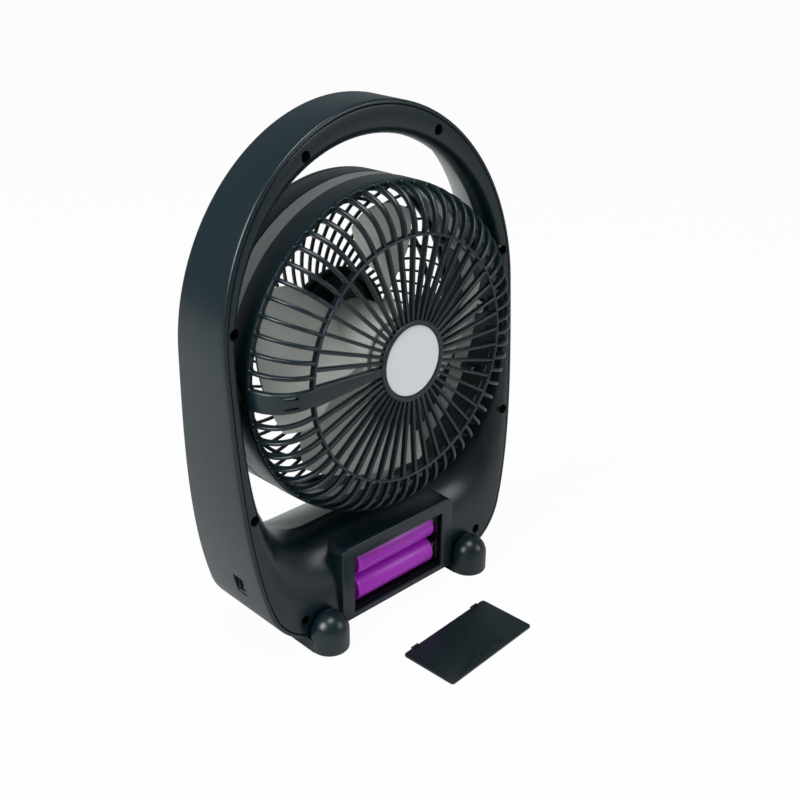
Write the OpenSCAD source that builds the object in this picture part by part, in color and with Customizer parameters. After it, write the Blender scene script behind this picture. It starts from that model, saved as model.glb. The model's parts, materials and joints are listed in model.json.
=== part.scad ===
// Rechargeable tabletop fan: a round head that tilts in a closed loop frame.
// Millimetres, +Z up. The front of the fan faces -Y and its rear faces +Y.

/* [Loop frame] */
// Gap between the head and each side member of the frame, at the tilt axis
head_side_gap = 2; // [1.6:0.1:4]
// Height of the arch beyond half of the frame's width
arch_more = 11.4; // [8:0.2:16]
// Height of the frame's widest place above the tilt axis
waist_up = 18.3; // [14:0.1:24]
// Height of the frame's bottom above the table
frame_floor_gap = 6.3; // [5:0.25:8]
// Radius of the frame's bottom corners
foot_corner_r = 39; // [36:0.5:44]
// Wall of the outer band
band_wall = 2.4; // [2:0.1:3]
// Depth of the frame behind the tilt axis, at the table
rear_depth = 30; // [29:0.2:33]
// Depth of the frame before the tilt axis, at the table
front_depth = 32.9; // [31:0.2:36]
// Width of the frame's side members at the waist
side_member_w = 10.4; // [9.5:0.1:11]
// Height of the handle member at the top
handle_w = 19.3; // [17:0.2:22]
// Height of the base under the head
base_h = 56.7; // [55:0.25:60]

/* [Fan head] */
// Radius of the fan head
head_r = 98; // [90:0.5:106]
// Gap between the head and the base under it
head_low_gap = 6; // [5:0.25:9]
// Tilt of the head as it stands, in degrees
rest_tilt = 1.8; // [0:0.2:4]
// Depth of the rear grille behind the tilt axis
grille_depth = 40.6; // [38:0.2:42]
// Radius of the shoulder ring of the rear grille
shoulder_r = 71.7; // [66:0.5:76]
// Radius of the hub disc
hub_disc_r = 24.1; // [22:0.2:27]
// Number of rear ribs between the hub disc and the shoulder ring
inner_rib_count = 45; // [35:2:47]
// Number of rear ribs between the shoulder ring and the rim
outer_rib_count = 60; // [50:2:72]
// Thickness of an inner rib
rib_t = 2; // [1.4:0.1:2.1]
// Thickness of an outer rib
outer_rib_t = 2.2; // [1.6:0.1:2.6]
// Number of spiral ribs in the front grille
spiral_count = 46; // [30:2:48]
// Number of fan blades
blade_count = 4; // [3:1:7]
// Gap between the blade tips and the outside of the head
blade_tip_gap = 16; // [8:0.5:20]

/* [Battery] */
// Length of a cell
cell_len = 65; // [60:0.5:66]
// Diameter of a cell
cell_d = 18.2; // [16:0.1:18.4]
// Width of the battery opening
bay_w = 74.6; // [73.5:0.1:78]
// Height of the battery opening
bay_h = 38.9; // [37.6:0.1:41]
// Thickness of the battery door
door_t = 2.2; // [1.8:0.1:2.8]

/* [Controls] */
// Diameter of a push button
button_d = 13; // [10:0.5:15]
// Travel of a push button
button_travel = 1.2; // [0.8:0.1:1.6]
// Width of the light window
light_w = 84; // [60:1:96]
// Height of the light window
light_h = 14; // [10:0.5:16]

/* [Hidden] */

// Shares of the frame's outline
side_power_share = 3;
arch_steps = 14;
side_steps = 9;
corner_steps = 8;
rear_lean_share = 0.074;
front_lean_share = 0.033;

// Overruns and clearances
cut = 1;
gap = 0.2;
running = 0.05;
half_turn = 180;
quarter_turn = 90;
fine_fn = 64;
small_fn = 32;

// Frame values that follow the driving sizes
side_drop_more = 33.8;
foot_corner_in = 51;
low_screw_drop = 87.1;
open_corner_in = 52;
open_half_w = head_r + head_side_gap;
frame_half_w = open_half_w + side_member_w;
open_bottom_z = frame_floor_gap + base_h;
tilt_axis_z = open_bottom_z + head_low_gap + head_r;
waist_z = tilt_axis_z + waist_up;
arch_h = frame_half_w + arch_more;
side_drop = waist_z + side_drop_more;
foot_corner_x = frame_half_w - foot_corner_in;
open_top_h = arch_h - handle_w;
open_drop_more = 14.7;
open_side_drop = waist_z - open_bottom_z + open_drop_more;
open_corner_r = 42;
open_corner_x = open_half_w - open_corner_in;
part_y = -1;
open_front_y = -4;
cover_wall = 2.2;
fascia_wall = 2;
cover_gap = 0.35;
rim_share = 0.34;
roll_power_share = 2.2;
bevel_w = 6;
bevel_limit_share = 0.62;
bevel_drop = 5;
bevel_round = 3;
big = 400;

function rear_y(z) = rear_depth - rear_lean_share * z;
function front_y(z) = -front_depth + front_lean_share * z;

// One side of an outline, from the top centre to the bottom centre
function side_x(half, drop, z) =
    half * pow(1 - pow((waist_z - z) / drop, side_power_share), 1 / side_power_share);
function half_outline(half, top, drop, corner_r, corner_x, bottom, inset) =
    let(join_z = bottom + inset + (corner_r - inset) * (1 - sin(corner_start)))
    concat(
        [for (i = [0 : arch_steps])
            let(t = quarter_turn * i / arch_steps)
            [(half - inset) * sin(t), waist_z + (top - inset) * cos(t)]],
        [for (i = [1 : side_steps])
            let(z = waist_z + (join_z - waist_z) * i / (side_steps + 1))
            [side_x(half - inset, drop, z), z]],
        [for (i = [0 : corner_steps])
            let(t = corner_start + (quarter_turn - corner_start) * i / corner_steps)
            [corner_x + (corner_r - inset) * cos(t), bottom + corner_r - (corner_r - inset) * sin(t)]]
    );
corner_start = 14;
function mirrored(pts) = concat(pts, [for (i = [len(pts) - 1 : -1 : 1]) [-pts[i][0], pts[i][1]]]);
function frame_half(inset) =
    half_outline(frame_half_w, arch_h, side_drop, foot_corner_r, foot_corner_x, frame_floor_gap, inset);
function open_half(inset) =
    half_outline(open_half_w, open_top_h, open_side_drop, open_corner_r, open_corner_x, open_bottom_z,
        inset);

// A closed tube swept through equal sections, one section for each outline point
function flat_points(sections) = [for (s = sections) for (p = s) p];
function tube_faces(n, m) = [for (i = [0 : n - 1]) for (j = [0 : m - 1])
    let(a = i * m + j, b = i * m + (j + 1) % m,
        c = ((i + 1) % n) * m + (j + 1) % m, d = ((i + 1) % n) * m + j)
    each [[a, b, c], [a, c, d]]];
module swept_ring(sections) {
    polyhedron(points = flat_points(sections), faces = tube_faces(len(sections), len(sections[0])));
}
// Section of the solid that the fascia's outer side bounds
function fascia_envelope_section(o, i) =
    let(f = fascia_section(o, i))
    [f[0], f[1], f[2], f[3], at_y(i, rear_depth), at_y(o, rear_depth)];
function reversed(list) = [for (i = [len(list) - 1 : -1 : 0]) list[i]];

function between(a, b, s) = a + (b - a) * s;
function at_y(p, y) = [p[0], y, p[1]];

// Section of the rear cover: flat rim, rolled edge, then the inner skin back
roll_steps = 6;
function roll(t) = pow(1 - pow(t, roll_power_share), 1 / roll_power_share);
function cover_section(o, i) =
    let(w = norm(i - o), end_in = 1 - cover_wall / w, rim_in = min(rim_share, end_in * rim_share))
    concat(
        [at_y(o, rear_y(o[1]))],
        [for (k = [0 : roll_steps])
            let(t = sin(quarter_turn * k / roll_steps), p = between(o, i, rim_share + (1 - rim_share) * t))
            at_y(p, part_y + (rear_y(p[1]) - part_y) * (k == roll_steps ? 0 : roll(t)))],
        [for (k = [roll_steps : -1 : 0])
            let(t = sin(quarter_turn * k / roll_steps), p = between(o, i, rim_in + (end_in - rim_in) * t))
            at_y(p, part_y + (rear_y(p[1]) - cover_wall - part_y) * (k == roll_steps ? 0 : roll(t)))],
        [at_y(o, rear_y(o[1]) - cover_wall)]
    );
// Section of the solid that the cover's outer side bounds
function envelope_section(o, i) =
    concat(
        [at_y(o, rear_y(o[1]))],
        [for (k = [0 : roll_steps])
            let(t = sin(quarter_turn * k / roll_steps), p = between(o, i, rim_share + (1 - rim_share) * t))
            at_y(p, part_y + (rear_y(p[1]) - part_y) * (k == roll_steps ? 0 : roll(t)))],
        [at_y(i, -front_depth), at_y(o, -front_depth)]
    );
// Section of the front fascia: flat rim, rounded shoulder, bevel to the opening, then back
function fascia_section(o, i) =
    let(w = norm(i - o), bevel = min(bevel_w, bevel_limit_share * w), top = 1 - bevel / w,
        flat = max(0, top - bevel_round / w), skin = fascia_wall / w,
        p_top = between(o, i, top), p_flat = between(o, i, flat))
    [at_y(o, front_y(o[1])), at_y(p_flat, front_y(p_flat[1])), at_y(p_top, front_y(p_top[1]) + bevel_drop),
     at_y(i, open_front_y), at_y(i, part_y - gap),
     at_y(between(o, i, 1 - skin), part_y - gap), at_y(between(o, i, 1 - skin), open_front_y),
     at_y(between(o, i, max(top - skin, skin)), front_y(p_top[1]) + bevel_drop + fascia_wall / 2),
     at_y(between(o, i, max(flat - skin, skin / 2)), front_y(p_flat[1]) + fascia_wall),
     at_y(o, front_y(o[1]) + fascia_wall)];

// Screw places on the rear rim, as [x, z]
well_share = 0.5;
top_screw_angle = 27.3;
mid_screw_angle = 80;
mid_well_share = 0.62;
low_screw_z = waist_z - low_screw_drop;
low_well_share = 0.38;
foot_screw_angle = 66;
foot_well_share = 0.2;
function arch_place(turn, s) =
    [between(frame_half_w, open_half_w, s) * sin(turn), waist_z
        + between(arch_h, open_top_h, s) * cos(turn)];
function side_place(z, s) =
    [between(side_x(frame_half_w, side_drop, z), side_x(open_half_w, open_side_drop, z), s), z];
function corner_place(turn, s) =
    between([foot_corner_x + foot_corner_r * cos(turn), frame_floor_gap + foot_corner_r * (1 - sin(turn))],
            [open_corner_x + open_corner_r * cos(turn), open_bottom_z + open_corner_r * (1 - sin(turn))],
                s);
screw_places = [arch_place(top_screw_angle, well_share), arch_place(mid_screw_angle, mid_well_share),
                side_place(low_screw_z, low_well_share), corner_place(foot_screw_angle, foot_well_share)];

// Where the pieces stand: the middle of the whole box, door included, is the origin
tilt_axis_y = 5;
face_proud = 1.3;
face_y = rear_depth + face_proud;
door_edge_gap = 0.25;
door_w = bay_w - 2 * door_edge_gap;
door_sill_gap = 0.3;
door_top_gap = 0.6;
door_h = bay_h - door_sill_gap - door_top_gap;
door_y = 88.5;
door_yaw = 3.2;
door_sunk = 0.1;
bay_up = 4.1;
bay_bottom_z = frame_floor_gap + bay_up;
door_seat_y = face_y - door_sunk;
door_seat_z = bay_bottom_z + door_sill_gap + door_h / 2;
// The closed door and the door on the table share one swing axis
door_x = -tan(door_yaw / 2) * (door_y - door_seat_y + door_seat_z);
door_corner_r = 2;
door_back_y = door_y + (door_h / 2 - door_corner_r) * cos(door_yaw)
    + (door_w / 2 - door_corner_r) * sin(door_yaw) + door_corner_r;
button_proud = 1.5;
button_z = 41;
object_front_y = front_y(button_z) - button_proud;
shift_y = -(object_front_y + door_back_y) / 2;
module placed() { translate([0, shift_y, 0]) children(); }
module on_head() {
    translate([0, shift_y + tilt_axis_y, tilt_axis_z]) rotate([rest_tilt - quarter_turn, 0, 0])
        translate([0, 0, -tilt_axis_y]) children();
}

// Colours
dark = "#26353c";
darker = "#1c272c";
pale = "#c3c9c6";
blade_grey = "#a9b0ab";
metal = "#b9bdc0";
board_green = "#2c5a3c";
cell_purple = "#a928b6";
black = "#141618";
clear_white = "#eceeea";

// Plain helpers: an outline drawn across X and Z, run along Y, and rods along Y and X
module run_y(y_from, y_to) { translate([0, y_to, 0])
    rotate([quarter_turn, 0, 0]) linear_extrude(y_to - y_from) children(); }
module rod_y(x, z, r, y_from, y_to, fn = small_fn) {
    translate([x, y_to, z]) rotate([quarter_turn, 0, 0]) cylinder(h = y_to - y_from, r = r, $fn = fn);
}
module rod_x(y, z, r, x_from, x_to, fn = small_fn) {
    translate([x_from, y, z]) rotate([0, quarter_turn, 0]) cylinder(h = x_to - x_from, r = r, $fn = fn);
}
module block(x_from, x_to, y_from, y_to, z_from, z_to) {
    translate([x_from, y_from, z_from]) cube([x_to - x_from, y_to - y_from, z_to - z_from]);
}
module rounded(w, h, r) {
    union() {
        square([w - 2 * r, h], center = true);
        square([w, h - 2 * r], center = true);
        for (sx = [-1, 1]) for (sz = [-1, 1])
            translate([sx * (w / 2 - r), sz * (h / 2 - r)]) circle(r, $fn = small_fn);
    }
}
module behind_rear(extra = 0) {
    translate([0, rear_depth + extra, 0]) rotate([atan(rear_lean_share), 0, 0])
        translate([-big, 0, -big]) cube([2 * big, big, 2 * big]);
}
module before_front() {
    translate([0, -front_depth, 0]) rotate([-atan(front_lean_share), 0, 0])
        translate([-big, -big, -big]) cube([2 * big, big, 2 * big]);
}
module both_sides() { for (s = [-1, 1]) scale([s, 1, 1]) children(); }
module ring_tube(r_out, r_in, w_from, w_to) {
    translate([0, 0, w_from]) difference() {
        cylinder(h = w_to - w_from, r = r_out, $fn = fine_fn);
        translate([0, 0, -cut]) cylinder(h = w_to - w_from + 2 * cut, r = r_in, $fn = fine_fn);
    }
}

// Outer band: the deep dark wall all round the loop
port_y = 3;
port_w = 9;
port_h = 13;
port_z = 46;
inlet_w = 4.4;
inlet_h = 10.4;
port_reach = 30;
module outer_band() {
    color(dark) placed() difference() {
        run_y(-front_depth, rear_depth) polygon(mirrored(frame_half(0)));
        run_y(-front_depth - cut, rear_depth + cut) polygon(mirrored(frame_half(band_wall)));
        behind_rear();
        before_front();
        both_sides() translate([foot_x, foot_screw_y, 0])
            cylinder(h = foot_screw_top, r = screw_hole_r, $fn = small_fn);
        block(frame_half_w - port_reach, frame_half_w, port_y - port_w / 2, port_y + port_w / 2,
              port_z - port_h / 2, port_z + port_h / 2);
        block(-frame_half_w, port_reach - frame_half_w, port_y - inlet_w / 2, port_y + inlet_w / 2,
              port_z - inlet_h / 2, port_z + inlet_h / 2);
    }
}

// Rear cover: flat rim, rolled edge into the opening, the battery box and the screw wells
box_side = 9.6;
box_roof = 8.5;
box_w = bay_w + 2 * box_side;
box_top_z = bay_bottom_z + bay_h + box_roof;
box_corner_r = 6;
box_wall = 2;
box_front_y = 12;
well_r = 3.1;
well_wall = 0.8;
well_depth = 12;
well_floor = 1.6;
screw_r = 1.1;
screw_hole_r = screw_r + gap;
bush_r = 5;
bush_in = 1.3;
bush_x = open_half_w + bush_in;
bush_len = 3.9;
bush_seat_gap = 0.1;
pin_r = 3.5;
pin_hole_gap = 0.4;
tab_swing = 1;
latch_notch_h = 1.6;
tab_w = 6;
tab_t = 1;
tab_out = 0.5;
tab_share = 0.37;
face_gap = 0.25;
function well_end(p) = min(rear_y(p[1]) - well_depth, p[1] > waist_z ? part_y : rear_y(p[1]));
module box_outline(grow, bottom) {
    intersection() {
        translate([0, box_top_z / 2 + grow]) rounded(box_w + 2 * grow, box_top_z, box_corner_r + grow);
        translate([-box_w, bottom]) square([2 * box_w, 2 * box_top_z]);
    }
}
module rear_cover() {
    color(dark) placed() difference() {
        union() {
            swept_ring([for (k = [0 : cover_count - 1]) cover_section(cover_outer[k], cover_inner[k])]);
            difference() {
                run_y(box_front_y, face_y) box_outline(0, frame_floor_gap + band_wall + cover_gap + gap);
                run_y(box_front_y - cut, face_y - box_wall) box_outline(-box_wall, 0);
            }
            run_y(rear_y(frame_floor_gap) + face_gap, face_y) box_outline(0, frame_floor_gap);
            intersection() {
                both_sides() for (p = screw_places)
                    rod_y(p[0], p[1], well_r + well_wall, well_end(p), rear_depth);
                swept_ring([for (k = [0 : cover_count - 1]) envelope_section(cover_outer[k],
                    cover_inner[k])]);
            }
        }
        run_y(box_front_y, rear_y(frame_floor_gap) + face_gap) box_outline(-box_wall, 0);
        translate([0, 0, bay_bottom_z + bay_h / 2]) run_y(box_front_y, face_y + cut)
            square([bay_w, bay_h], center = true);
        both_sides() for (p = screw_places) {
            rod_y(p[0], p[1], well_r, well_end(p) + well_floor, face_y + cut);
            rod_y(p[0], p[1], screw_hole_r, well_end(p) - cut, face_y);
        }
        both_sides() rod_x(tilt_axis_y, tilt_axis_z, pin_r + pin_hole_gap, open_half_w - 3 * cut,
            frame_half_w);
        both_sides() rod_x(tilt_axis_y, tilt_axis_z, bush_r + bush_seat_gap, bush_x - bush_seat_gap,
            frame_half_w);
        both_sides() translate([tab_share * door_w, 0, bay_bottom_z])
            block(-tab_w / 2 - 2 * gap, tab_w / 2 + 2 * gap, door_seat_y - door_rim_h - gap,
                  door_seat_y - door_rim_h + tab_t + tab_swing, -tab_out - 2 * gap, cut);
        block(-latch_w / 4 - 2 * gap, latch_w / 4 + 2 * gap, box_front_y, face_y + cut,
              bay_bottom_z + bay_h - cut, bay_bottom_z + bay_h + latch_notch_h);
    }
}
cover_outer = mirrored(frame_half(band_wall + cover_gap));
cover_inner = mirrored(open_half(0));
cover_count = len(cover_outer);

// Front fascia: pale face with a bevel to the opening, the control panel and the screw posts
post_r = 2.9;
button_x = 24;
button_hole_gap = 0.3;
light_z = 22;
pipe_r = 1.5;
pipe_step = 5;
pipe_count = 3;
fascia_gap = 0.2;
module fascia_posts() {
    both_sides() for (p = screw_places)
        difference() {
            rod_y(p[0], p[1], post_r, front_y(p[1]) + fascia_wall / 2, well_end(p) - gap);
            rod_y(p[0], p[1], screw_hole_r, well_end(p) - post_hole_depth, well_end(p) + cut);
        }
}
post_hole_depth = 12;
module front_fascia() {
    color(pale) placed() difference() {
        union() {
            swept_ring([for (k = [0 : cover_count - 1]) reversed(fascia_section(fascia_outer[k],
                cover_inner[k]))]);
            intersection() {
                fascia_posts();
                swept_ring([for (k = [0 : cover_count
                    - 1]) reversed(fascia_envelope_section(fascia_outer[k], cover_inner[k]))]);
            }
        }
        for (s = [-1, 1])
            rod_y(s * button_x, button_z, button_d / 2 + button_hole_gap, -front_depth - cut, 0);
        translate([0, 0, light_z]) run_y(-front_depth - cut, 0)
            rounded(light_w + 2 * gap, light_h + 2 * gap, light_corner_r);
        for (k = [0 : pipe_count - 1])
            rod_y((k - (pipe_count - 1) / 2) * pipe_step, button_z, pipe_r + gap, -front_depth - cut, 0);
    }
}
light_corner_r = 4;
fascia_outer = mirrored(frame_half(band_wall + fascia_gap));

// Feet: a domed post behind each side of the base, and a rail that runs forward under it
foot_box_gap = 1.3;
foot_y = 34.1;
foot_r = 11.9;
foot_x = box_w / 2 + foot_box_gap + foot_r;
foot_post_h = 12;
foot_front_y = -21;
foot_rail_top = frame_floor_gap - gap;
pad_r = 6.5;
pad_h = 1.2;
pad_proud = 0.2;
pad_back_y = 30;
pad_front_y = -12;
foot_screw_head_r = 2.6;
module foot() {
    difference() {
        union() {
            difference() {
                translate([foot_x, foot_y, pad_proud]) union() {
                    cylinder(h = foot_post_h - pad_proud, r = foot_r, $fn = fine_fn);
                    translate([0, 0, foot_post_h - pad_proud]) sphere(foot_r, $fn = fine_fn);
                }
                block(0, big, -big, rear_y(0) + gap * 3, foot_rail_top, big);
            }
            block(foot_x - foot_r, foot_x + foot_r, foot_front_y, foot_y, pad_proud, foot_rail_top);
        }
        block(foot_x - foot_r - cut, foot_x + foot_r + cut, foot_y - foot_r - cut, big, -foot_r, pad_proud);
        for (y = [pad_back_y, pad_front_y])
            translate([foot_x, y, 0]) cylinder(h = pad_h + gap / 2, r = pad_r + gap / 2, $fn = fine_fn);
        translate([foot_x, foot_screw_y, -cut]) cylinder(h = big, r = screw_hole_r, $fn = small_fn);
        translate([foot_x, foot_screw_y, -cut])
            cylinder(h = foot_screw_sunk + cut, r = foot_screw_head_r + gap, $fn = small_fn);
    }
}
foot_screw_y = -2;
foot_screw_top = 13;
foot_screw_sunk = 3.4;
foot_screw_head_h = 1.6;
module foot_left() { color(dark) placed() foot(); }
module foot_right() { color(dark) placed() scale([-1, 1, 1]) foot(); }
module foot_pads() {
    color(black) placed() both_sides() for (y = [pad_back_y, pad_front_y])
        translate([foot_x, y, 0]) cylinder(h = pad_h, r = pad_r, $fn = fine_fn);
}
module foot_screws() {
    color(metal) placed() both_sides() translate([foot_x, foot_screw_y, 0]) {
        translate([0, 0, foot_screw_sunk - foot_screw_head_h])
            cylinder(h = foot_screw_head_h, r = foot_screw_head_r, $fn = small_fn);
        translate([0, 0, foot_screw_sunk - cut / 2])
            cylinder(h = foot_screw_top - foot_screw_sunk - gap, r = screw_r, $fn = small_fn);
    }
}
rear_screw_head_r = 2.2;
rear_screw_head_h = 1.8;
rear_screw_len = 9;
module rear_screws() {
    color(metal) placed() both_sides() for (p = screw_places) {
        rod_y(p[0], p[1], rear_screw_head_r, well_end(p) + well_floor, well_end(p) + well_floor
            + rear_screw_head_h);
        rod_y(p[0], p[1], screw_r, well_end(p) + well_floor - rear_screw_len, well_end(p) + well_floor
            + cut / 2);
    }
}

// Battery tray, its contacts and the two cells
cell_r = cell_d / 2;
cell_y = 19.7;
cell_pitch = 18.7;
cell_mid_up = 19.5;
cell_mid_z = bay_bottom_z + cell_mid_up;
tray_wall = 1.6;
tray_floor = 0.9;
tray_up = 0.3;
tray_back_in = 3.6;
tray_front_gap = 0.7;
tray_top_gap = 0.5;
tray_bottom_z = frame_floor_gap + band_wall + tray_up;
tray_back_y = face_y - tray_back_in;
tray_front_y = cell_y - cell_r - tray_front_gap;
tray_in_bottom = tray_bottom_z + tray_floor;
tray_in_top = cell_mid_z + cell_pitch / 2 + cell_r + tray_top_gap;
tray_in_half = bay_w / 2;
module battery_tray() {
    color(black) placed() difference() {
        block(-tray_in_half - tray_wall, tray_in_half + tray_wall, tray_front_y - tray_wall, tray_back_y,
              tray_bottom_z, tray_in_top + tray_wall);
        block(-tray_in_half, tray_in_half, tray_front_y, tray_back_y + cut, tray_in_bottom, tray_in_top);
        block(-lead_x - lead_r - gap, lead_r + gap - lead_x, tray_front_y - tray_wall - cut, tray_back_y,
              lead_z - lead_r - gap, lead_z + lead_r + gap);
        block(lead_x - lead_r - gap, lead_x + lead_r + gap, tray_front_y - tray_wall - cut, tray_back_y,
              lead_z - lead_r - gap, lead_z + lead_r + gap);
    }
}
lead_x = 34.6;
lead_r = 0.8;
lead_z = 25;
nub_r = 2.9;
nub_h = 0.9;
function cell_z(k) = cell_mid_z + (k == 0 ? 1 : -1) * cell_pitch / 2;
module cell(k, flip) {
    color(cell_purple) placed() {
        rod_x(cell_y, cell_z(k), cell_r, -cell_len / 2, cell_len / 2 - nub_h, fine_fn);
        rod_x(cell_y, cell_z(k), nub_r, cell_len / 2 - nub_h - cut / 2, cell_len / 2);
    }
}
module upper_cell() { cell(0); }
module lower_cell() { cell(1); }
// Coil springs press on the flat ends: one unbroken wire tube each
spring_curls = 3;
spring_rings = 8;
spring_sides = 6;
spring_wire_r = 0.25;
spring_wide_r = 4.4;
spring_narrow_r = 2.6;
plate_t = 0.5;
spring_len = tray_in_half - plate_t - cell_len / 2 - 2 * gap;
function spring_point(k) =
    let(t = k / (spring_curls * spring_rings), r = between(spring_wide_r, spring_narrow_r, t))
    [spring_wire_r + t * (spring_len - 2 * spring_wire_r), r * cos(k * 2 * half_turn / spring_rings),
     r * sin(k * 2 * half_turn / spring_rings)];
function spring_ring(k) =
    let(c = spring_point(k), a = k * 2 * half_turn / spring_rings)
    [for (j = [0 : spring_sides - 1]) let(b = j * 2 * half_turn / spring_sides)
        c + spring_wire_r * [cos(b), sin(b) * cos(a), sin(b) * sin(a)]];
spring_count = spring_curls * spring_rings;
module spring() {
    n = spring_count + 1;
    m = spring_sides;
    polyhedron(
        points = flat_points([for (k = [0 : spring_count]) spring_ring(k)]),
        faces = concat([[for (j = [0 : m - 1]) j]],
            [for (i = [0 : n - 2]) for (j = [0 : m - 1])
                let(a = i * m + j, b = i * m + (j + 1) % m, c = (i + 1) * m + (j + 1) % m, d = (i + 1) * m
                    + j)
                each [[a, d, c], [a, c, b]]],
            [[for (j = [m - 1 : -1 : 0]) (n - 1) * m + j]]));
}
// Least gap from the wire to itself, one curl apart
curl_gap = min([for (k = [0 : spring_count - spring_rings])
    norm(spring_point(k + spring_rings) - spring_point(k)) - 2 * spring_wire_r]);
echo(least_curl_gap = curl_gap);
module contact_springs() {
    color(metal) placed() for (k = [0, 1])
        translate([-tray_in_half + plate_t + gap / 2, cell_y, cell_z(k)]) spring();
}
contact_half = 6.5;
contact_plate_y = 4.5;
module contact_plates() {
    color(metal) placed() for (k = [0, 1]) {
        block(-tray_in_half, -tray_in_half + plate_t, cell_y - contact_half, cell_y + contact_half,
              cell_z(k) - contact_half, cell_z(k) + contact_half);
        block(tray_in_half - plate_t, tray_in_half, cell_y - contact_half, cell_y + contact_half,
              cell_z(k) - contact_half, cell_z(k) + contact_half);
        rod_x(cell_y, cell_z(k), contact_plate_y, tray_in_half - plate_t - contact_dome, tray_in_half
            - plate_t / 2);
    }
}
contact_dome = tray_in_half - plate_t - cell_len / 2 - gap;

// Battery door: it lies on the table behind the fan, its inner side up
door_panel_t = 1.5;
door_rim_h = door_t + gap;
door_rim_w = 1.6;
door_rim_in = 0.5;
door_rib_t = 0.6;
door_rib_h = 0.5;
rib_end_share = 0.7;
door_rib_shares = [-0.27, 0.13];
latch_w = 14;
latch_slit = 0.9;
latch_slit_len = 9;
latch_in = 4;
latch_out = 0.6;
latch_t = 1;
module battery_door() {
    color(darker) placed() translate([door_x, door_y, 0]) rotate([0, 0, door_yaw]) difference() {
        union() {
            linear_extrude(door_panel_t) rounded(door_w, door_h, door_corner_r);
            linear_extrude(door_rim_h) difference() {
                rounded(door_w - 2 * door_rim_in, door_h - 2 * door_rim_in, door_corner_r);
                rounded(door_w - 2 * door_rim_w, door_h - 2 * door_rim_w, door_corner_r / 2);
            }
            for (s = door_rib_shares)
                translate([0, s * door_h, door_panel_t])
                    block(-door_w / 2 + door_rim_w * rib_end_share, door_w / 2
                        - door_rim_w * rib_end_share, -door_rib_t / 2, door_rib_t / 2,
                          -door_rib_h, door_rib_h);
            for (s = [-1, 1])
                translate([s * tab_share * door_w, -door_h / 2, door_rim_h - tab_t])
                    block(-tab_w / 2, tab_w / 2, -tab_out, door_rim_w - gap, 0, tab_t);
            translate([0, door_h / 2, door_rim_h - latch_t])
                block(-latch_w / 4, latch_w / 4, gap - door_rim_w, latch_out, 0, latch_t);
        }
        for (s = [-1, 1])
            translate([s * (latch_w / 4 + latch_slit_len / 2 + latch_slit), door_h / 2 - latch_in, -cut])
                block(-latch_slit_len / 2, latch_slit_len / 2, -latch_slit / 2, latch_slit / 2, 0, big);
    }
}

// Boards, sockets, switches and buttons in the base
board_y = -17;
board_t = 1.6;
board_half = 42;
board_bottom_z = 13.5;
board_top_z = 52;
module main_board() {
    color(board_green) placed() union() {
        block(-board_half, board_half, board_y, board_y + board_t, board_bottom_z, board_top_z);
        block(-chip_w, chip_w, board_y + board_t - cut / 2, board_y + board_t + chip_t, board_top_z
            - chip_w - chip_t, board_top_z - chip_t);
    }
}
chip_w = 9;
chip_t = 1.4;
socket_in = 1.6;
socket_len = 13;
socket_gap = 0.4;
socket_wall = 0.6;
port_sunk = 0.7;
port_face_x = side_x(frame_half_w, side_drop, port_z) - port_sunk;
port_tongue_w = 1.8;
port_tongue_h = 9;
inlet_tongue_w = 0.8;
inlet_tongue_h = 6;
module socket(w, h, tongue_w, tongue_h) {
    x_out = port_face_x - socket_in;
    difference() {
        block(x_out - socket_len, x_out, port_y - w / 2 + socket_gap, port_y + w / 2 - socket_gap,
              port_z - h / 2 + socket_gap, port_z + h / 2 - socket_gap);
        block(x_out - socket_len + socket_wall * 4, x_out + cut,
              port_y - w / 2 + socket_gap + socket_wall, port_y + w / 2 - socket_gap - socket_wall,
              port_z - h / 2 + socket_gap + socket_wall, port_z + h / 2 - socket_gap - socket_wall);
    }
    block(x_out - socket_len + cut, x_out - cut, port_y - tongue_w / 2, port_y + tongue_w / 2,
          port_z - tongue_h / 2, port_z + tongue_h / 2);
}
module usb_socket() { color(metal) placed() socket(port_w, port_h, port_tongue_w, port_tongue_h); }
module charge_socket() { color(metal) placed() scale([-1, 1, 1])
    socket(inlet_w, inlet_h, inlet_tongue_w, inlet_tongue_h); }
button_wall_gap = 0.3;
button_flange = 1.1;
button_flange_t = 1;
button_front_y = front_y(button_z) - button_proud;
button_flange_y = front_y(button_z + button_d / 2) + fascia_wall + button_wall_gap;
button_stem = 2.6;
button_back_y = button_flange_y + button_flange_t + button_stem;
button_stem_r = 2;
module button(x) {
    color(pale) placed() difference() {
        union() {
            rod_y(x, button_z, button_d / 2, button_front_y, button_flange_y + button_flange_t, fine_fn);
            rod_y(x, button_z, button_d / 2 + button_flange, button_flange_y, button_flange_y
                + button_flange_t, fine_fn);
            rod_y(x, button_z, button_stem_r, button_flange_y, button_back_y);
        }
        rod_y(x, button_z, button_d / 2 - button_skin, button_front_y - cut, button_front_y + button_dish);
    }
}
button_skin = 1.6;
button_dish = 0.4;
module speed_button() { button(button_x); }
module light_button() { button(-button_x); }
switch_w = 6;
switch_cap_r = 1.7;
switch_cap_h = 1;
switch_front_y = button_back_y + button_travel + button_wall_gap;
module key_switches() {
    color(black) placed() for (s = [-1, 1]) {
        block(s * button_x - switch_w / 2, s * button_x + switch_w / 2, switch_front_y + switch_cap_h,
            board_y,
              button_z - switch_w / 2, button_z + switch_w / 2);
        rod_y(s * button_x, button_z, switch_cap_r, switch_front_y, switch_front_y + switch_cap_h
            + cut / 2);
    }
}
window_flange = 2;
window_flange_t = 1;
window_back_y = front_y(light_z + light_h / 2) + fascia_wall + button_wall_gap;
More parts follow.
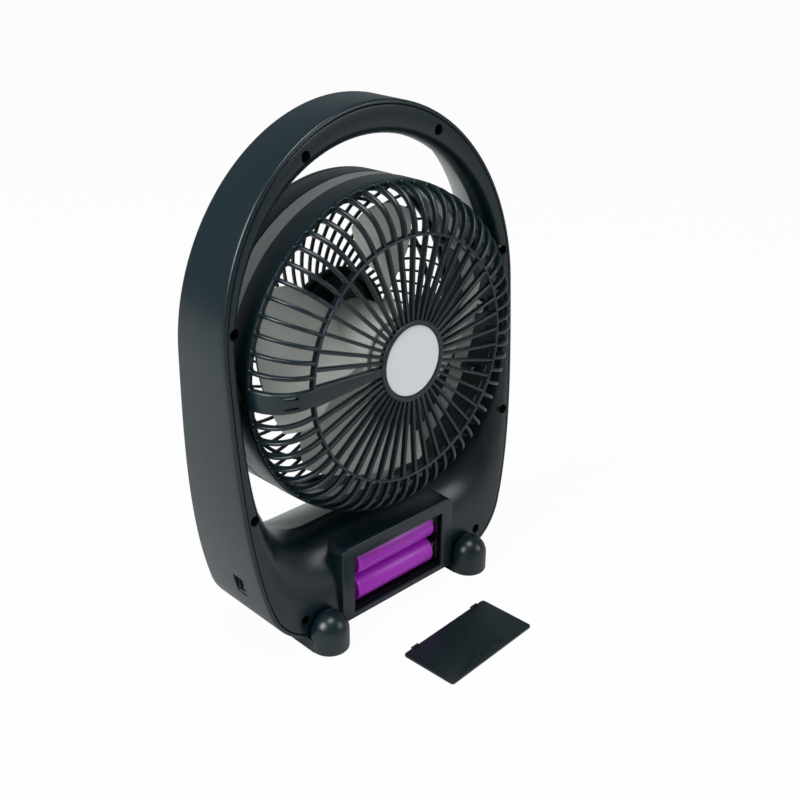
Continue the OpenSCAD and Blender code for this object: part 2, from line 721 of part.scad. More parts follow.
module light_window() {
    color(clear_white) placed() translate([0, 0, light_z]) union() {
        run_y(front_y(light_z - light_h / 2), window_back_y + window_flange_t)
            rounded(light_w, light_h, light_corner_r);
        run_y(window_back_y, window_back_y + window_flange_t)
            rounded(light_w + 2 * window_flange, light_h + 2 * window_flange, light_corner_r);
    }
}
lamp_count = 12;
lamp_r = 1.6;
lamp_h = 1.4;
light_board_y = window_back_y + 2 * window_flange + lamp_h;
module light_board() {
    color(clear_white) placed() union() {
        block(-light_w / 2, light_w / 2, light_board_y, light_board_y + board_t / 2,
              light_z - light_h / 2 + gap, light_z + light_h / 2);
        for (k = [0 : lamp_count - 1])
            rod_y((k - (lamp_count - 1) / 2) * light_w / (lamp_count + 1), light_z, lamp_r,
                  light_board_y - lamp_h, light_board_y + gap);
    }
}
pipe_strip_y = front_y(button_z) + fascia_wall + 2 * pipe_r;
module indicator_pipes() {
    color(clear_white) placed() union() {
        for (k = [0 : pipe_count - 1])
            rod_y((k - (pipe_count - 1) / 2) * pipe_step, button_z, pipe_r, front_y(button_z) - gap,
                pipe_strip_y + cut / 2);
        block(-pipe_step * pipe_count / 2, pipe_step * pipe_count / 2, pipe_strip_y, pipe_strip_y + cut,
              button_z - pipe_r, button_z + pipe_r);
    }
}

// Tilt pivots: a pin on each side of the head turns in a bush in the frame
pin_plate_r = 4.3;
pin_plate_t = 1.4;
pin_flat = 0.4;
rim_wall = 3;
pin_plate_x = head_r - rim_wall - 2 * gap - pin_plate_t - pin_flat;
pin_end_gap = 0.4;
wire_bore_r = 1.5;
washer_gap = 0.35;
washer_t = 0.8;
washer_r = 6.5;
washer_fit = 0.15;
module pivot_pins() {
    color(metal) placed() both_sides() difference() {
        union() {
            rod_x(tilt_axis_y, tilt_axis_z, pin_r, pin_plate_x, bush_x + bush_len - pin_end_gap);
            rod_x(tilt_axis_y, tilt_axis_z, pin_plate_r, pin_plate_x, pin_plate_x + pin_plate_t);
        }
        rod_x(tilt_axis_y, tilt_axis_z, wire_bore_r, pin_plate_x - cut, frame_half_w);
    }
}
module pivot_bushes() {
    color(clear_white) placed() both_sides() difference() {
        rod_x(tilt_axis_y, tilt_axis_z, bush_r, bush_x, bush_x + bush_len);
        rod_x(tilt_axis_y, tilt_axis_z, pin_r + running, bush_x - cut, frame_half_w);
    }
}
module friction_washers() {
    color(black) placed() both_sides() difference() {
        rod_x(tilt_axis_y, tilt_axis_z, washer_r, head_r + washer_gap, head_r + washer_gap + washer_t);
        rod_x(tilt_axis_y, tilt_axis_z, pin_r + washer_fit, head_r - cut, frame_half_w);
    }
}

// Rear grille: rim, curved cage of ribs, shoulder ring, hub disc and the wire arm
rim_front = 0.6;
rim_back = 11.5;
cage_base = 11;
cage_power_share = 2.4;
cage_steps = 8;
rib_depth = 3.8;
slot_end = 17;
cage_out_r = head_r - 0.2;
shoulder_w = 1.6;
shoulder_back = grille_depth - 0.9;
hub_disc_t = 4;
label_r = 20.6;
label_sunk = 0.8;
label_t = 0.5;
arm_rim_w = 11.2;
arm_hub_w = 5;
arm_t = 2.6;
arm_slit_w = 1.6;
arm_slit_len = 7;
arm_slit_in = 9.5;
arm_slit_apart = 5.5;
lug_in = 5.2;
lug_r = head_r - lug_in;
lug_size = 2.6;
lug_back = 9;
lug_turns = [25, 155, 205, 335];
grille_screw_r = 1;
function cage_point(t, inset) =
    [shoulder_r + (cage_out_r - shoulder_r - inset) * pow(sin(t), 2 / cage_power_share),
     cage_base + (shoulder_back - cage_base - inset) * pow(cos(t), 2 / cage_power_share)];
function cage_profile(depth, r_in, lift = 0) = concat(
    [[r_in, shoulder_back + lift]],
    [for (k = [0 : cage_steps]) cage_point(quarter_turn * k / cage_steps, -lift)],
    [for (k = [cage_steps : -1 : 0]) cage_point(quarter_turn * k / cage_steps, depth)],
    [[r_in, shoulder_back - depth]]);
module bar(t, outline) {
    rotate([quarter_turn, 0, 0]) translate([0, 0, -t / 2]) linear_extrude(t) polygon(outline);
}
inner_rib = [[hub_disc_r - cut, shoulder_back], [shoulder_r, shoulder_back],
             [shoulder_r, shoulder_back - rib_depth], [hub_disc_r - cut, shoulder_back - rib_depth]];
outer_rib = cage_profile(rib_depth, shoulder_r - gap);
module lugs(w_from, w_to) {
    for (a = lug_turns) rotate([0, 0, a])
        translate([lug_r, 0, w_from]) cylinder(h = w_to - w_from, r = lug_size, $fn = small_fn);
}
module lug_holes() {
    for (a = lug_turns) rotate([0, 0, a]) translate([lug_r, 0, -grille_depth])
        cylinder(h = 2 * grille_depth, r = grille_screw_r + gap, $fn = small_fn);
}
module rear_grille() {
    color(dark) on_head() difference() {
        union() {
            ring_tube(head_r, head_r - rim_wall, rim_front, rim_back);
            lugs(rim_front + gap, lug_back);
            ring_tube(shoulder_r + shoulder_w / 2, shoulder_r - shoulder_w / 2,
                shoulder_back - rib_depth - gap, shoulder_back + gap);
            translate([0, 0, grille_depth - hub_disc_t])
                cylinder(h = hub_disc_t, r = hub_disc_r, $fn = fine_fn);
            for (k = [0 : inner_rib_count - 1])
                rotate([0, 0, (k + 0.5) * 2 * half_turn / inner_rib_count]) bar(rib_t, inner_rib);
            // The arm takes the place of the first and the last outer rib
            for (k = [1 : outer_rib_count - 2])
                rotate([0, 0, (k + 0.5) * 2 * half_turn / outer_rib_count]) bar(outer_rib_t, outer_rib);
            intersection() {
                rotate_extrude($fn = fine_fn) polygon(cage_profile(arm_t, hub_disc_r - cut, gap / 2));
                union() {
                    cylinder(h = slot_end, r = head_r + cut, $fn = fine_fn);
                    linear_extrude(grille_depth) polygon([
                        [hub_disc_r - cut, -arm_hub_w / 2], [head_r + cut, -arm_rim_w / 2],
                        [head_r + cut, arm_rim_w / 2], [hub_disc_r - cut, arm_hub_w / 2]]);
                }
            }
        }
        translate([0, 0, grille_depth - label_sunk - label_t])
            cylinder(h = hub_disc_t, r = label_r + gap, $fn = fine_fn);
        for (s = [-1, 1])
            translate([head_r - arm_slit_in - arm_slit_len, (s * arm_slit_apart - arm_slit_w) / 2, slot_end])
                cube([arm_slit_len, arm_slit_w, grille_depth]);
        for (s = [-1, 1]) translate([0, 0, tilt_axis_y])
            rotate([0, s * quarter_turn, 0]) translate([0, 0, head_r - 3 * rim_wall])
                cylinder(h = 4 * rim_wall, r = pin_r + washer_fit, $fn = small_fn);
        lug_holes();
        for (a = motor_screw_turns) rotate([0, 0, a])
            translate([motor_screw_at, 0, grille_depth - 2 * hub_disc_t])
            cylinder(h = 2 * hub_disc_t, r = screw_hole_r, $fn = small_fn);
    }
}
module rear_label_plate() {
    color(clear_white) on_head() translate([0, 0, grille_depth - label_sunk - label_t])
        cylinder(h = label_t, r = label_r, $fn = fine_fn);
}

// Rings and front grille
ring_wall = 3.6;
mid_ring_r = head_r - 0.3;
mid_ring_back = 0.4;
mid_ring_front = -10;
front_ring_r = head_r - 0.1;
front_ring_front = -24.8;
module middle_ring() {
    color(pale) on_head() difference() {
        union() {
            ring_tube(mid_ring_r, mid_ring_r - ring_wall, mid_ring_front, mid_ring_back);
            lugs(mid_ring_front + gap, mid_ring_back - gap);
        }
        lug_holes();
    }
}
module front_ring() {
    color(dark) on_head() difference() {
        union() {
            ring_tube(front_ring_r, front_ring_r - ring_wall, front_ring_front, mid_ring_front - gap);
            lugs(front_lug_end, mid_ring_front - 2 * gap);
        }
        lug_holes();
    }
}
front_lug_end = -20;
grille_front = -28;
front_rim_w = 5.4;
front_rim_in_r = front_ring_r - front_rim_w;
front_mid_in = 12.5;
front_mid_r = front_rim_in_r - front_mid_in;
front_mid_w = 2.2;
front_cap_r = 36.5;
cap_ring_w = 3.2;
spiral_lag = -35;
spiral_w = 1.4;
spiral_steps = 8;
function spiral_point(k, side) =
    let(r = between(front_cap_r + cap_ring_w / 2, front_rim_in_r + front_mid_w / 2, k / spiral_steps),
        a = spiral_lag * (k / spiral_steps) + side * (spiral_w / r) * half_turn / PI)
    [r * cos(a), r * sin(a)];
module front_grille() {
    color(dark) on_head() union() {
        ring_tube(front_ring_r, front_rim_in_r, grille_front, front_ring_front - gap);
        ring_tube(front_mid_r + front_mid_w / 2, front_mid_r - front_mid_w / 2, grille_front + gap,
            front_ring_front - 2 * gap);
        ring_tube(front_cap_r + cap_ring_w, front_cap_r + gap, grille_front, front_ring_front - gap);
        for (i = [0 : spiral_count - 1]) rotate([0, 0, i * 2 * half_turn / spiral_count])
            translate([0, 0, grille_front + 2 * gap]) linear_extrude(front_ring_front - 5 * gap
                - grille_front)
                polygon(concat([for (k = [0 : spiral_steps]) spiral_point(k, 0.5)],
                               [for (k = [spiral_steps : -1 : 0]) spiral_point(k, -0.5)]));
    }
}
cap_proud = 1.5;
cap_lip = 2.2;
cap_t = 1.3;
module front_cap() {
    color(darker) on_head() union() {
        translate([0, 0, grille_front - cap_proud])
            cylinder(h = cap_t, r = front_cap_r + cap_ring_w / 2, $fn = fine_fn);
        ring_tube(front_cap_r, front_cap_r - cap_lip, grille_front - cap_proud + cap_t / 2,
            front_ring_front + cap_lip);
    }
}
grille_screw_head_r = 1.9;
grille_screw_head_h = 1.5;
grille_screw_end = -19;
module grille_screws() {
    color(metal) on_head() for (a = lug_turns) rotate([0, 0, a]) translate([lug_r, 0, 0]) {
        translate([0, 0, lug_back])
            cylinder(h = grille_screw_head_h, r = grille_screw_head_r, $fn = small_fn);
        translate([0, 0, grille_screw_end])
            cylinder(h = lug_back - grille_screw_end + cut / 2, r = grille_screw_r, $fn = small_fn);
    }
}

// Motor: cover cup, can with its bearings, rotor and shaft
motor_cover_r = 21;
motor_cover_wall = 1.6;
motor_back = grille_depth - hub_disc_t - gap;
motor_cover_front = 12;
can_r = 16;
can_wall = 1.4;
can_back = motor_back - motor_cover_wall - 2 * gap;
can_front = 13.5;
bearing_r = 5;
bearing_h = 3;
shaft_r = 2;
core_r = 12;
core_gap = 1.2;
motor_screw_at = 18.4;
motor_screw_turns = [30, 150, 270];
module motor_cover() {
    color(blade_grey) on_head() difference() {
        translate([0, 0, motor_cover_front])
            cylinder(h = motor_back - motor_cover_front, r = motor_cover_r, $fn = fine_fn);
        translate([0, 0, motor_cover_front - cut])
            cylinder(h = motor_back - motor_cover_wall - motor_cover_front + cut, r = can_r + gap,
                $fn = fine_fn);
        for (a = motor_screw_turns) rotate([0, 0, a])
            translate([motor_screw_at, 0, motor_back - motor_screw_len])
            cylinder(h = 2 * motor_screw_len, r = screw_hole_r, $fn = small_fn);
        translate([can_r, -lead_r - gap, motor_back - motor_cover_wall - lead_slot])
            cube([2 * motor_cover_wall + cut * 3, 2 * (lead_r + gap), lead_slot]);
    }
}
lead_slot = 3;
motor_screw_len = 8;
motor_screw_up = 3.2;
module motor_screws() {
    color(metal) on_head() for (a = motor_screw_turns) rotate([0, 0, a])
        translate([motor_screw_at, 0, motor_back - motor_screw_len + gap])
            cylinder(h = motor_screw_len + hub_disc_t - label_sunk - label_t - gap, r = screw_r,
                $fn = small_fn);
}
module motor_can() {
    color(metal) on_head() difference() {
        translate([0, 0, can_front]) cylinder(h = can_back - can_front, r = can_r, $fn = fine_fn);
        translate([0, 0, can_front + can_wall])
            cylinder(h = can_back - can_front - 2 * can_wall, r = can_r - can_wall, $fn = fine_fn);
        translate([0, 0, can_front - cut])
            cylinder(h = 2 * can_wall + cut, r = bearing_r + gap / 2, $fn = small_fn);
        translate([0, 0, can_back - 2 * can_wall])
            cylinder(h = 2 * can_wall + cut, r = bearing_r + gap / 2, $fn = small_fn);
    }
}
module motor_bearings() {
    color(metal) on_head() for (w = [can_front, can_back - bearing_h])
        ring_tube(bearing_r, shaft_r + running, w, w + bearing_h);
}
module rotor() {
    color(metal) on_head() union() {
        translate([0, 0, shaft_front])
            cylinder(h = can_back - gap - shaft_front, r = shaft_r, $fn = small_fn);
        translate([0, 0, can_front + bearing_h + core_gap])
            cylinder(h = can_back - can_front - 2 * (bearing_h + core_gap), r = core_r, $fn = fine_fn);
    }
}
shaft_front = -17;

// Fan blades on their hub, held by a nut
hub_r = 24.5;
hub_wall = 2;
hub_back = 28;
hub_front = -12;
boss_r = 4.5;
boss_back = 8.5;
blade_t = 1.5;
blade_steps = 10;
blade_chord_steps = 6;
// Edges of a blade, in degrees, and how its tip is rounded
lead_root_angle = 52.6;
lead_tip_angle = 40;
trail_root_angle = -6;
trail_more_angle = 46;
trail_curl_angle = 10;
lead_round_angle = 7;
trail_round_angle = 12;
round_from_share = 0.665;
round_power_share = 1.3;
blade_root_mid = 8.5;
blade_tip_mid = 9.5;
blade_root_rise = 33;
blade_tip_rise = 37;
blade_bow = -4;
blade_r = head_r - blade_tip_gap;
function blade_r_at(k) = between(hub_r - hub_wall / 2, blade_r, k / blade_steps);
function tip_round(s) = pow(max(0, s - round_from_share) / (1 - round_from_share), round_power_share);
function lead_at(s) = -between(lead_root_angle, lead_tip_angle, s);
function trail_at(s) = trail_root_angle + trail_more_angle * s - trail_curl_angle * s * s;
function blade_point(k, c, side) =
    let(s = k / blade_steps, u = c / blade_chord_steps, r = blade_r_at(k),
        a = between(lead_at(s) + lead_round_angle * tip_round(s),
                    trail_at(s) - trail_round_angle * tip_round(s), u),
        v = (a - lead_at(s)) / (trail_at(s) - lead_at(s)),
        w = between(blade_root_mid, blade_tip_mid, s) + blade_bow * sin(half_turn * v)
            + between(blade_root_rise, blade_tip_rise, s) * (v - 0.5))
    [r * cos(a), r * sin(a), w + side * blade_t / 2 * blade_edge(u)];
blade_edge_share = 0.45;
function blade_edge(u) = blade_edge_share + (1 - blade_edge_share) * sin(half_turn * u);
module blade() {
    n = blade_steps;
    m = blade_chord_steps;
    w = m + 1;
    half_count = (n + 1) * w;
    polyhedron(
        points = concat([for (k = [0 : n]) for (c = [0 : m]) blade_point(k, c, 1)],
                        [for (k = [0 : n]) for (c = [0 : m]) blade_point(k, c, -1)]),
        faces = concat(
            [for (k = [0 : n - 1]) for (c = [0 : m - 1]) let(a = k * w + c, b = a + 1, d = a + w, e = d + 1)
                each [[a, b, e], [a, e, d]]],
            [for (k = [0 : n - 1]) for (c = [0 : m - 1])
                let(a = half_count + k * w + c, b = a + 1, d = a + w, e = d + 1)
                each [[a, e, b], [a, d, e]]],
            [for (k = [0 : n - 1]) for (c = [0, m])
                let(a = k * w + c, d = a + w, f = half_count + a, g = f + w)
                each (c == 0 ? [[a, d, g], [a, g, f]] : [[a, g, d], [a, f, g]])],
            [for (c = [0 : m - 1]) for (k = [0, n])
                let(a = k * w + c, b = a + 1, f = half_count + a, g = f + 1)
                each (k == 0 ? [[a, g, b], [a, f, g]] : [[a, b, g], [a, g, f]])]));
}
module fan_blades() {
    color(blade_grey) on_head() difference() {
        union() {
            difference() {
                translate([0, 0, hub_front]) cylinder(h = hub_back - hub_front, r = hub_r, $fn = fine_fn);
                translate([0, 0, hub_front + hub_wall])
                    cylinder(h = hub_back - hub_front, r = hub_r - hub_wall, $fn = fine_fn);
            }
            translate([0, 0, hub_front])
                cylinder(h = boss_back - hub_front, r = boss_r, $fn = small_fn);
            difference() {
                for (i = [0 : blade_count - 1]) rotate([0, 0, i * 2 * half_turn / blade_count]) blade();
                translate([0, 0, hub_front - cut])
                    cylinder(h = hub_back - hub_front + 2 * cut, r = hub_r - hub_wall / 2, $fn = fine_fn);
            }
        }
        translate([0, 0, hub_front - cut])
            cylinder(h = hub_back - hub_front + 2 * cut, r = shaft_r + running, $fn = small_fn);
    }
}
nut_r = 4;
nut_h = 3.4;
module blade_nut() {
    color(metal) on_head() difference() {
        translate([0, 0, hub_front - nut_h]) cylinder(h = nut_h, r = nut_r, $fn = 6);
        translate([0, 0, hub_front - nut_h - cut])
            cylinder(h = nut_h + 2 * cut, r = shaft_r + running, $fn = small_fn);
    }
}

// Leads: round wires laid as straight runs with rounded joints
module lead(points, r) {
    for (k = [0 : len(points) - 2]) {
        d = points[k + 1] - points[k];
        n = norm(d);
        translate(points[k]) rotate([0, acos(d[2] / n), atan2(d[1], d[0])])
            cylinder(h = n, r = r, $fn = small_fn);
        if (k > 0) translate(points[k]) sphere(r + lead_joint_grow, $fn = small_fn);
    }
}
lead_joint_grow = 0.04;
lead_bend = 5;
lead_side = 1.2;
lead_at = [34, 60, 76];
// The lead runs close under the arm, then across to the hollow pivot pin
function under_arm(t, side) =
    let(p = cage_point(t, arm_t + lead_r + gap))
    [p[0], side, p[1]];
head_lead_points = [
    [motor_cover_r + 2 * gap, 0, motor_back - motor_cover_wall - lead_slot / 2],
    under_arm(lead_at[0], lead_side),
    under_arm(lead_at[1], lead_side / 2),
    under_arm(lead_at[2], lead_side),
    [head_r - rim_wall - lead_bend, 0, tilt_axis_y],
    [bush_x + bush_len - 3 * gap, 0, tilt_axis_y]];
module head_lead() { color(black) on_head() lead(head_lead_points, lead_r); }
frame_lead_points = [
    [bush_x + bush_len + lead_r + gap, tilt_axis_y, tilt_axis_z],
    [bush_x + bush_len + lead_r + gap, tilt_axis_y, tilt_axis_z - 2 * lead_bend],
    [frame_half_w - 3 * band_wall, tilt_axis_y, tilt_axis_z - 7 * lead_bend],
    [frame_half_w - 6 * band_wall, 0, low_screw_z],
    [frame_half_w - 9 * band_wall, 0, low_screw_z - 5 * lead_bend],
    [board_half + 5 * lead_bend, -lead_bend, board_top_z],
    [board_half + lead_bend, board_y + lead_bend, board_top_z - 2 * lead_bend],
    [board_half - lead_bend, board_y + board_t + lead_r + gap, board_top_z - 2 * lead_bend]];
module frame_lead() { color(black) placed() lead(frame_lead_points, lead_r); }

outer_band();
rear_cover();
front_fascia();
foot_left();
foot_right();
foot_pads();
rear_screws();
foot_screws();
battery_tray();
contact_springs();
contact_plates();
upper_cell();
lower_cell();
battery_door();
main_board();
usb_socket();
charge_socket();
key_switches();
speed_button();
light_button();
light_board();
light_window();
indicator_pipes();
pivot_bushes();
pivot_pins();
friction_washers();
rear_grille();
rear_label_plate();
middle_ring();
front_ring();
front_grille();
front_cap();
motor_cover();
motor_can();
motor_bearings();
motor_screws();
rotor();
fan_blades();
blade_nut();
grille_screws();
head_lead();
frame_lead();
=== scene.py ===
"""Rechargeable table fan in a loop frame, seen from behind with its battery bay open.

Shapes are worked out in millimetres in the fan's own frame (X to the side, Y to the
rear, Z up), then moved into the row frame in metres. Every piece rides on its CAD body.
"""

from __future__ import annotations

import json
import logging
import math
from dataclasses import dataclass, field
from enum import Enum
from typing import Callable, Iterable, Sequence

import bmesh
import bpy
from mathutils import Matrix, Vector

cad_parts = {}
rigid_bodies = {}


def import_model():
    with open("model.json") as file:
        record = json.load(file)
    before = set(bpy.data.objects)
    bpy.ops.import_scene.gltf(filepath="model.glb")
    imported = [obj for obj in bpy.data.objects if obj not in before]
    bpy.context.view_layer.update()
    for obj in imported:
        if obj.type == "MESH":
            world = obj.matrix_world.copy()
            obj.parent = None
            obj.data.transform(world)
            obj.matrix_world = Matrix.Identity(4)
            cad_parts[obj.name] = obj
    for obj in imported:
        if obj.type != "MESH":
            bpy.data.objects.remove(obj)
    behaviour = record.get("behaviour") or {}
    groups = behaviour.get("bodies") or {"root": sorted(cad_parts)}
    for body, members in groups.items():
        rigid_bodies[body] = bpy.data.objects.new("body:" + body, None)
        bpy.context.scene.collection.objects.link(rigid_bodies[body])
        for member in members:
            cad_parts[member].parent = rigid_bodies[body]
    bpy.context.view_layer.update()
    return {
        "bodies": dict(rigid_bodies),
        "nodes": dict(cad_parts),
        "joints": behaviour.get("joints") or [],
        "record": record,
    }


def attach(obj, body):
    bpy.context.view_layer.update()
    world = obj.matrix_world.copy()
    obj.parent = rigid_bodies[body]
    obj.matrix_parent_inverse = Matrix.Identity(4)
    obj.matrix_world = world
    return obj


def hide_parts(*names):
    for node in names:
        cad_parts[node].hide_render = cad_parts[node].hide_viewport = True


Point = tuple[float, float]
Point3 = tuple[float, float, float]
Corners = tuple[Point3, Point3]

LOG = logging.getLogger("fan")
MM = 0.001
SHIFT_Y = -38.19153
AXIS_R = 0.0001  # stands for radius zero in a lathe profile

# Loop frame: waist, power of its bowed sides, where its corners start, leaning planes
WAIST_Z, SIDE_POWER, CORNER_START = 185.3, 3.0, math.radians(14.0)
REAR_DEPTH, REAR_LEAN = 30.0, 0.074
FRONT_DEPTH, FRONT_LEAN = 32.9, 0.033

# Tilt axis of the head and its tilt at rest
TILT_Y, TILT_Z, REST_TILT = 5.0, 167.0, math.radians(1.8)


def linear(hex_colour: str) -> tuple[float, float, float, float]:
    """Turns an sRGB hex colour into linear RGBA.

    Args:
        hex_colour: Six hex digits with a leading hash.

    Returns:
        Linear red, green, blue and an alpha of one.
    """
    parts = [int(hex_colour[i : i + 2], 16) / 255 for i in (1, 3, 5)]
    out = [p / 12.92 if p <= 0.04045 else ((p + 0.055) / 1.055) ** 2.4 for p in parts]
    return (*out, 1.0)


def dial(node: bpy.types.Node, values: dict) -> None:
    """Sets inputs of a node, given as a dict of input and value."""
    for key, value in values.items():
        node.inputs[key].default_value = value


def wire(tree: bpy.types.NodeTree, *links: tuple) -> None:
    """Links nodes; each link is a node, its output, the next node and its input."""
    for start, out, end, into in links:
        tree.links.new(start.outputs[out], end.inputs[into])


def put(name: str, data: bpy.types.ID) -> bpy.types.Object:
    """Makes an object and links it into the scene."""
    obj = bpy.data.objects.new(name, data)
    bpy.context.scene.collection.objects.link(obj)
    return obj


def baked(obj: bpy.types.Object) -> bpy.types.Mesh:
    """A new mesh of the object with its modifiers applied."""
    graph = bpy.context.evaluated_depsgraph_get()
    return bpy.data.meshes.new_from_object(obj.evaluated_get(graph))


@dataclass(frozen=True)
class Look:
    """What a procedural material is made of; lengths in millimetres."""

    name: str
    colour: str
    rough: float
    rough_range: float = 0.06
    grain_mm: float = 0.35
    grain_depth_mm: float = 0.006
    mottle: float = 0.03
    metallic: float = 0.0
    transmission: float = 0.0
    subsurface: float = 0.0
    mottle_mm: float = 14.0
    subsurface_mm: float = 2.0


class Finish(Enum):
    """The materials that the pieces wear."""

    # Moulded ABS in blue charcoal: fine spark texture, satin
    FRAME = Look("abs_blue_charcoal", "#081b21", 0.30, 0.07, 0.45, 0.007, 0.04)
    # Moulded ABS in pale grey, a little smoother
    PALE = Look("abs_pale_grey", "#c9cecb", 0.42, 0.05, 0.5, 0.005, 0.02)
    # Translucent styrene resin of the fan blades, polished
    BLADE = Look("as_resin_blade_grey", "#c6cac3", 0.30, 0.05, 6.0, 0.01, 0.03, subsurface=0.12)
    # Inner side of the door: flow marks in dark ABS
    DOOR = Look("abs_dark_inside", "#0e191d", 0.34, 0.10, 3.0, 0.012, 0.10)
    # Black ABS inside the bay; the screw wells wear it too, as painted shade inside their recesses
    BLACK = Look("abs_black_inner_and_well_shade", "#0c0f11", 0.45, 0.06, 0.4, 0.006, 0.03)
    # Zinc plated steel
    STEEL = Look("zinc_plated_steel", "#b9bdc0", 0.28, 0.08, 0.3, 0.003, 0.05, metallic=1.0)
    # Nickel plated spring wire
    SPRING = Look("nickel_spring_wire", "#c9c8c2", 0.22, 0.06, 0.2, 0.002, 0.03, metallic=1.0)
    # Shrunk PVC sleeve of a lithium cell
    CELL = Look("pvc_cell_wrap_purple", "#b21fc6", 0.36, 0.06, 5.0, 0.02, 0.05, subsurface=0.05)
    # Blank white polyester label
    LABEL = Look("blank_label_film", "#eef1f1", 0.38, 0.05, 0.3, 0.003, 0.01)
    # Moulded rubber pads
    RUBBER = Look("rubber_pad_black", "#121313", 0.75, 0.08, 0.3, 0.01, 0.05)
    # Circuit board with solder mask
    BOARD = Look("glass_epoxy_board", "#1f5a38", 0.35, 0.08, 1.5, 0.01, 0.08)
    # Frosted acrylic window
    LENS = Look("frosted_lens_white", "#f2f3f0", 0.25, 0.05, 0.6, 0.004, 0.01, transmission=0.35)
    # Natural nylon
    WHITE = Look("nylon_white", "#dfe0da", 0.5, 0.05, 0.4, 0.005, 0.02)


class MaterialShop:
    """Makes each procedural material once and hands it out."""

    def __init__(self) -> None:
        """Starts with no material made."""
        self._made: dict[Finish, bpy.types.Material] = {}

    def get(self, finish: Finish) -> bpy.types.Material:
        """Returns the material of a finish.

        Args:
            finish: Which material is wanted.

        Returns:
            The Blender material, built on first use.
        """
        if finish not in self._made:
            self._made[finish] = self._build(finish.value)
        return self._made[finish]

    @staticmethod
    def _build(look: Look) -> bpy.types.Material:
        """A material with broad mottle in colour and gloss, and a fine grain as bump."""
        mat = bpy.data.materials.new(look.name)
        mat.use_nodes = True
        tree, base = mat.node_tree, linear(look.colour)
        shader = tree.nodes["Principled BSDF"]
        place, tint, rough, bump = (
            tree.nodes.new(f"ShaderNode{kind}") for kind in ("TexCoord", "Mix", "MapRange", "Bump")
        )
        broad = MaterialShop._noise(tree, place, look.mottle_mm, 3.0)
        fine = MaterialShop._noise(tree, place, look.grain_mm, 2.0)
        dial(shader, {
            "Metallic": look.metallic, "Transmission Weight": look.transmission,
            "Subsurface Weight": look.subsurface, "Subsurface Scale": look.subsurface_mm * MM,
        })
        tint.data_type = "RGBA"
        dial(tint, {
            key: (*(min(1.0, c * gain) for c in base[:3]), 1.0)
            for key, gain in (("A", 1 - look.mottle), ("B", 1 + look.mottle))
        })
        half = look.rough_range / 2
        dial(rough, {"To Min": look.rough - half, "To Max": look.rough + half})
        dial(bump, {"Strength": 1.0, "Distance": look.grain_depth_mm * MM})
        wire(
            tree,
            (broad, "Fac", tint, "Factor"), (tint, "Result", shader, "Base Color"),
            (broad, "Fac", rough, "Value"), (rough, "Result", shader, "Roughness"),
            (fine, "Fac", bump, "Height"), (bump, "Normal", shader, "Normal"),
        )
        return mat

    @staticmethod
    def _noise(
        tree: bpy.types.NodeTree, place: bpy.types.Node, size_mm: float, detail: float
    ) -> bpy.types.Node:
        """Adds a noise texture of a size and detail in object space."""
        node = tree.nodes.new("ShaderNodeTexNoise")
        dial(node, {"Scale": 1.0 / (size_mm * MM), "Detail": detail})
        wire(tree, (place, "Object", node, "Vector"))
        return node


# ---- Places


def rear_y(z: float) -> float:
    """Y of the frame's rear plane at height z."""
    return REAR_DEPTH - REAR_LEAN * z


def front_y(z: float) -> float:
    """Y of the frame's front plane at height z."""
    return -FRONT_DEPTH + FRONT_LEAN * z


def head_matrix() -> Matrix:
    """Matrix from the head's own frame (axis along +Z, rear side up) to the fan's."""
    turn = Matrix.Rotation(REST_TILT - math.pi / 2, 4, "X")
    pivot = Matrix.Translation((0, TILT_Y, TILT_Z))
    return pivot @ turn @ Matrix.Translation((0, 0, -TILT_Y))


HEAD = head_matrix()
STILL = Matrix.Identity(4)


@dataclass(frozen=True)
class Outline:
    """A loop outline: an elliptic arch, bowed sides and round bottom corners."""

    half: float
    top: float
    drop: float
    corner_r: float
    corner_x: float
    bottom: float
    arch_steps: int = 44
    side_steps: int = 26
    corner_steps: int = 22

    def side_x(self, z: float, inset: float) -> float:
        """X of the bowed side at height z."""
        share = max(0.0, (WAIST_Z - z) / self.drop)
        return (self.half - inset) * (1 - share**SIDE_POWER) ** (1 / SIDE_POWER)

    def points(self, inset: float) -> list[tuple[float, float]]:
        """The closed outline at an inset.

        Args:
            inset: How far inside the outline, in mm.

        Returns:
            Points (x, z) from the top centre round by +X, closed.
        """
        r = self.corner_r - inset
        join = self.bottom + inset + r * (1 - math.sin(CORNER_START))
        half: list[tuple[float, float]] = []
        for i in range(self.arch_steps + 1):
            t = math.pi / 2 * i / self.arch_steps
            x, z = (self.half - inset) * math.sin(t), (self.top - inset) * math.cos(t)
            half.append((x, WAIST_Z + z))
        for i in range(1, self.side_steps + 1):
            z = WAIST_Z + (join - WAIST_Z) * i / (self.side_steps + 1)
            half.append((self.side_x(z, inset), z))
        for i in range(self.corner_steps + 1):
            t = CORNER_START + (math.pi / 2 - CORNER_START) * i / self.corner_steps
            x, z = self.corner_x + r * math.cos(t), self.bottom + self.corner_r - r * math.sin(t)
            half.append((x, z))
        base = half[-1]
        half += [(base[0] * (1 - k / 8), base[1]) for k in range(1, 9)]
        return half + [(-x, z) for x, z in half[-2:0:-1]]


FRAME_LINE = Outline(
    half=110.4, top=307.1 - WAIST_Z, drop=219.1, corner_r=39.0, corner_x=59.4, bottom=6.3
)
OPEN_LINE = Outline(
    half=100.0, top=102.5, drop=137.0, corner_r=42.0, corner_x=48.0, bottom=63.0
)


# ---- Meshes


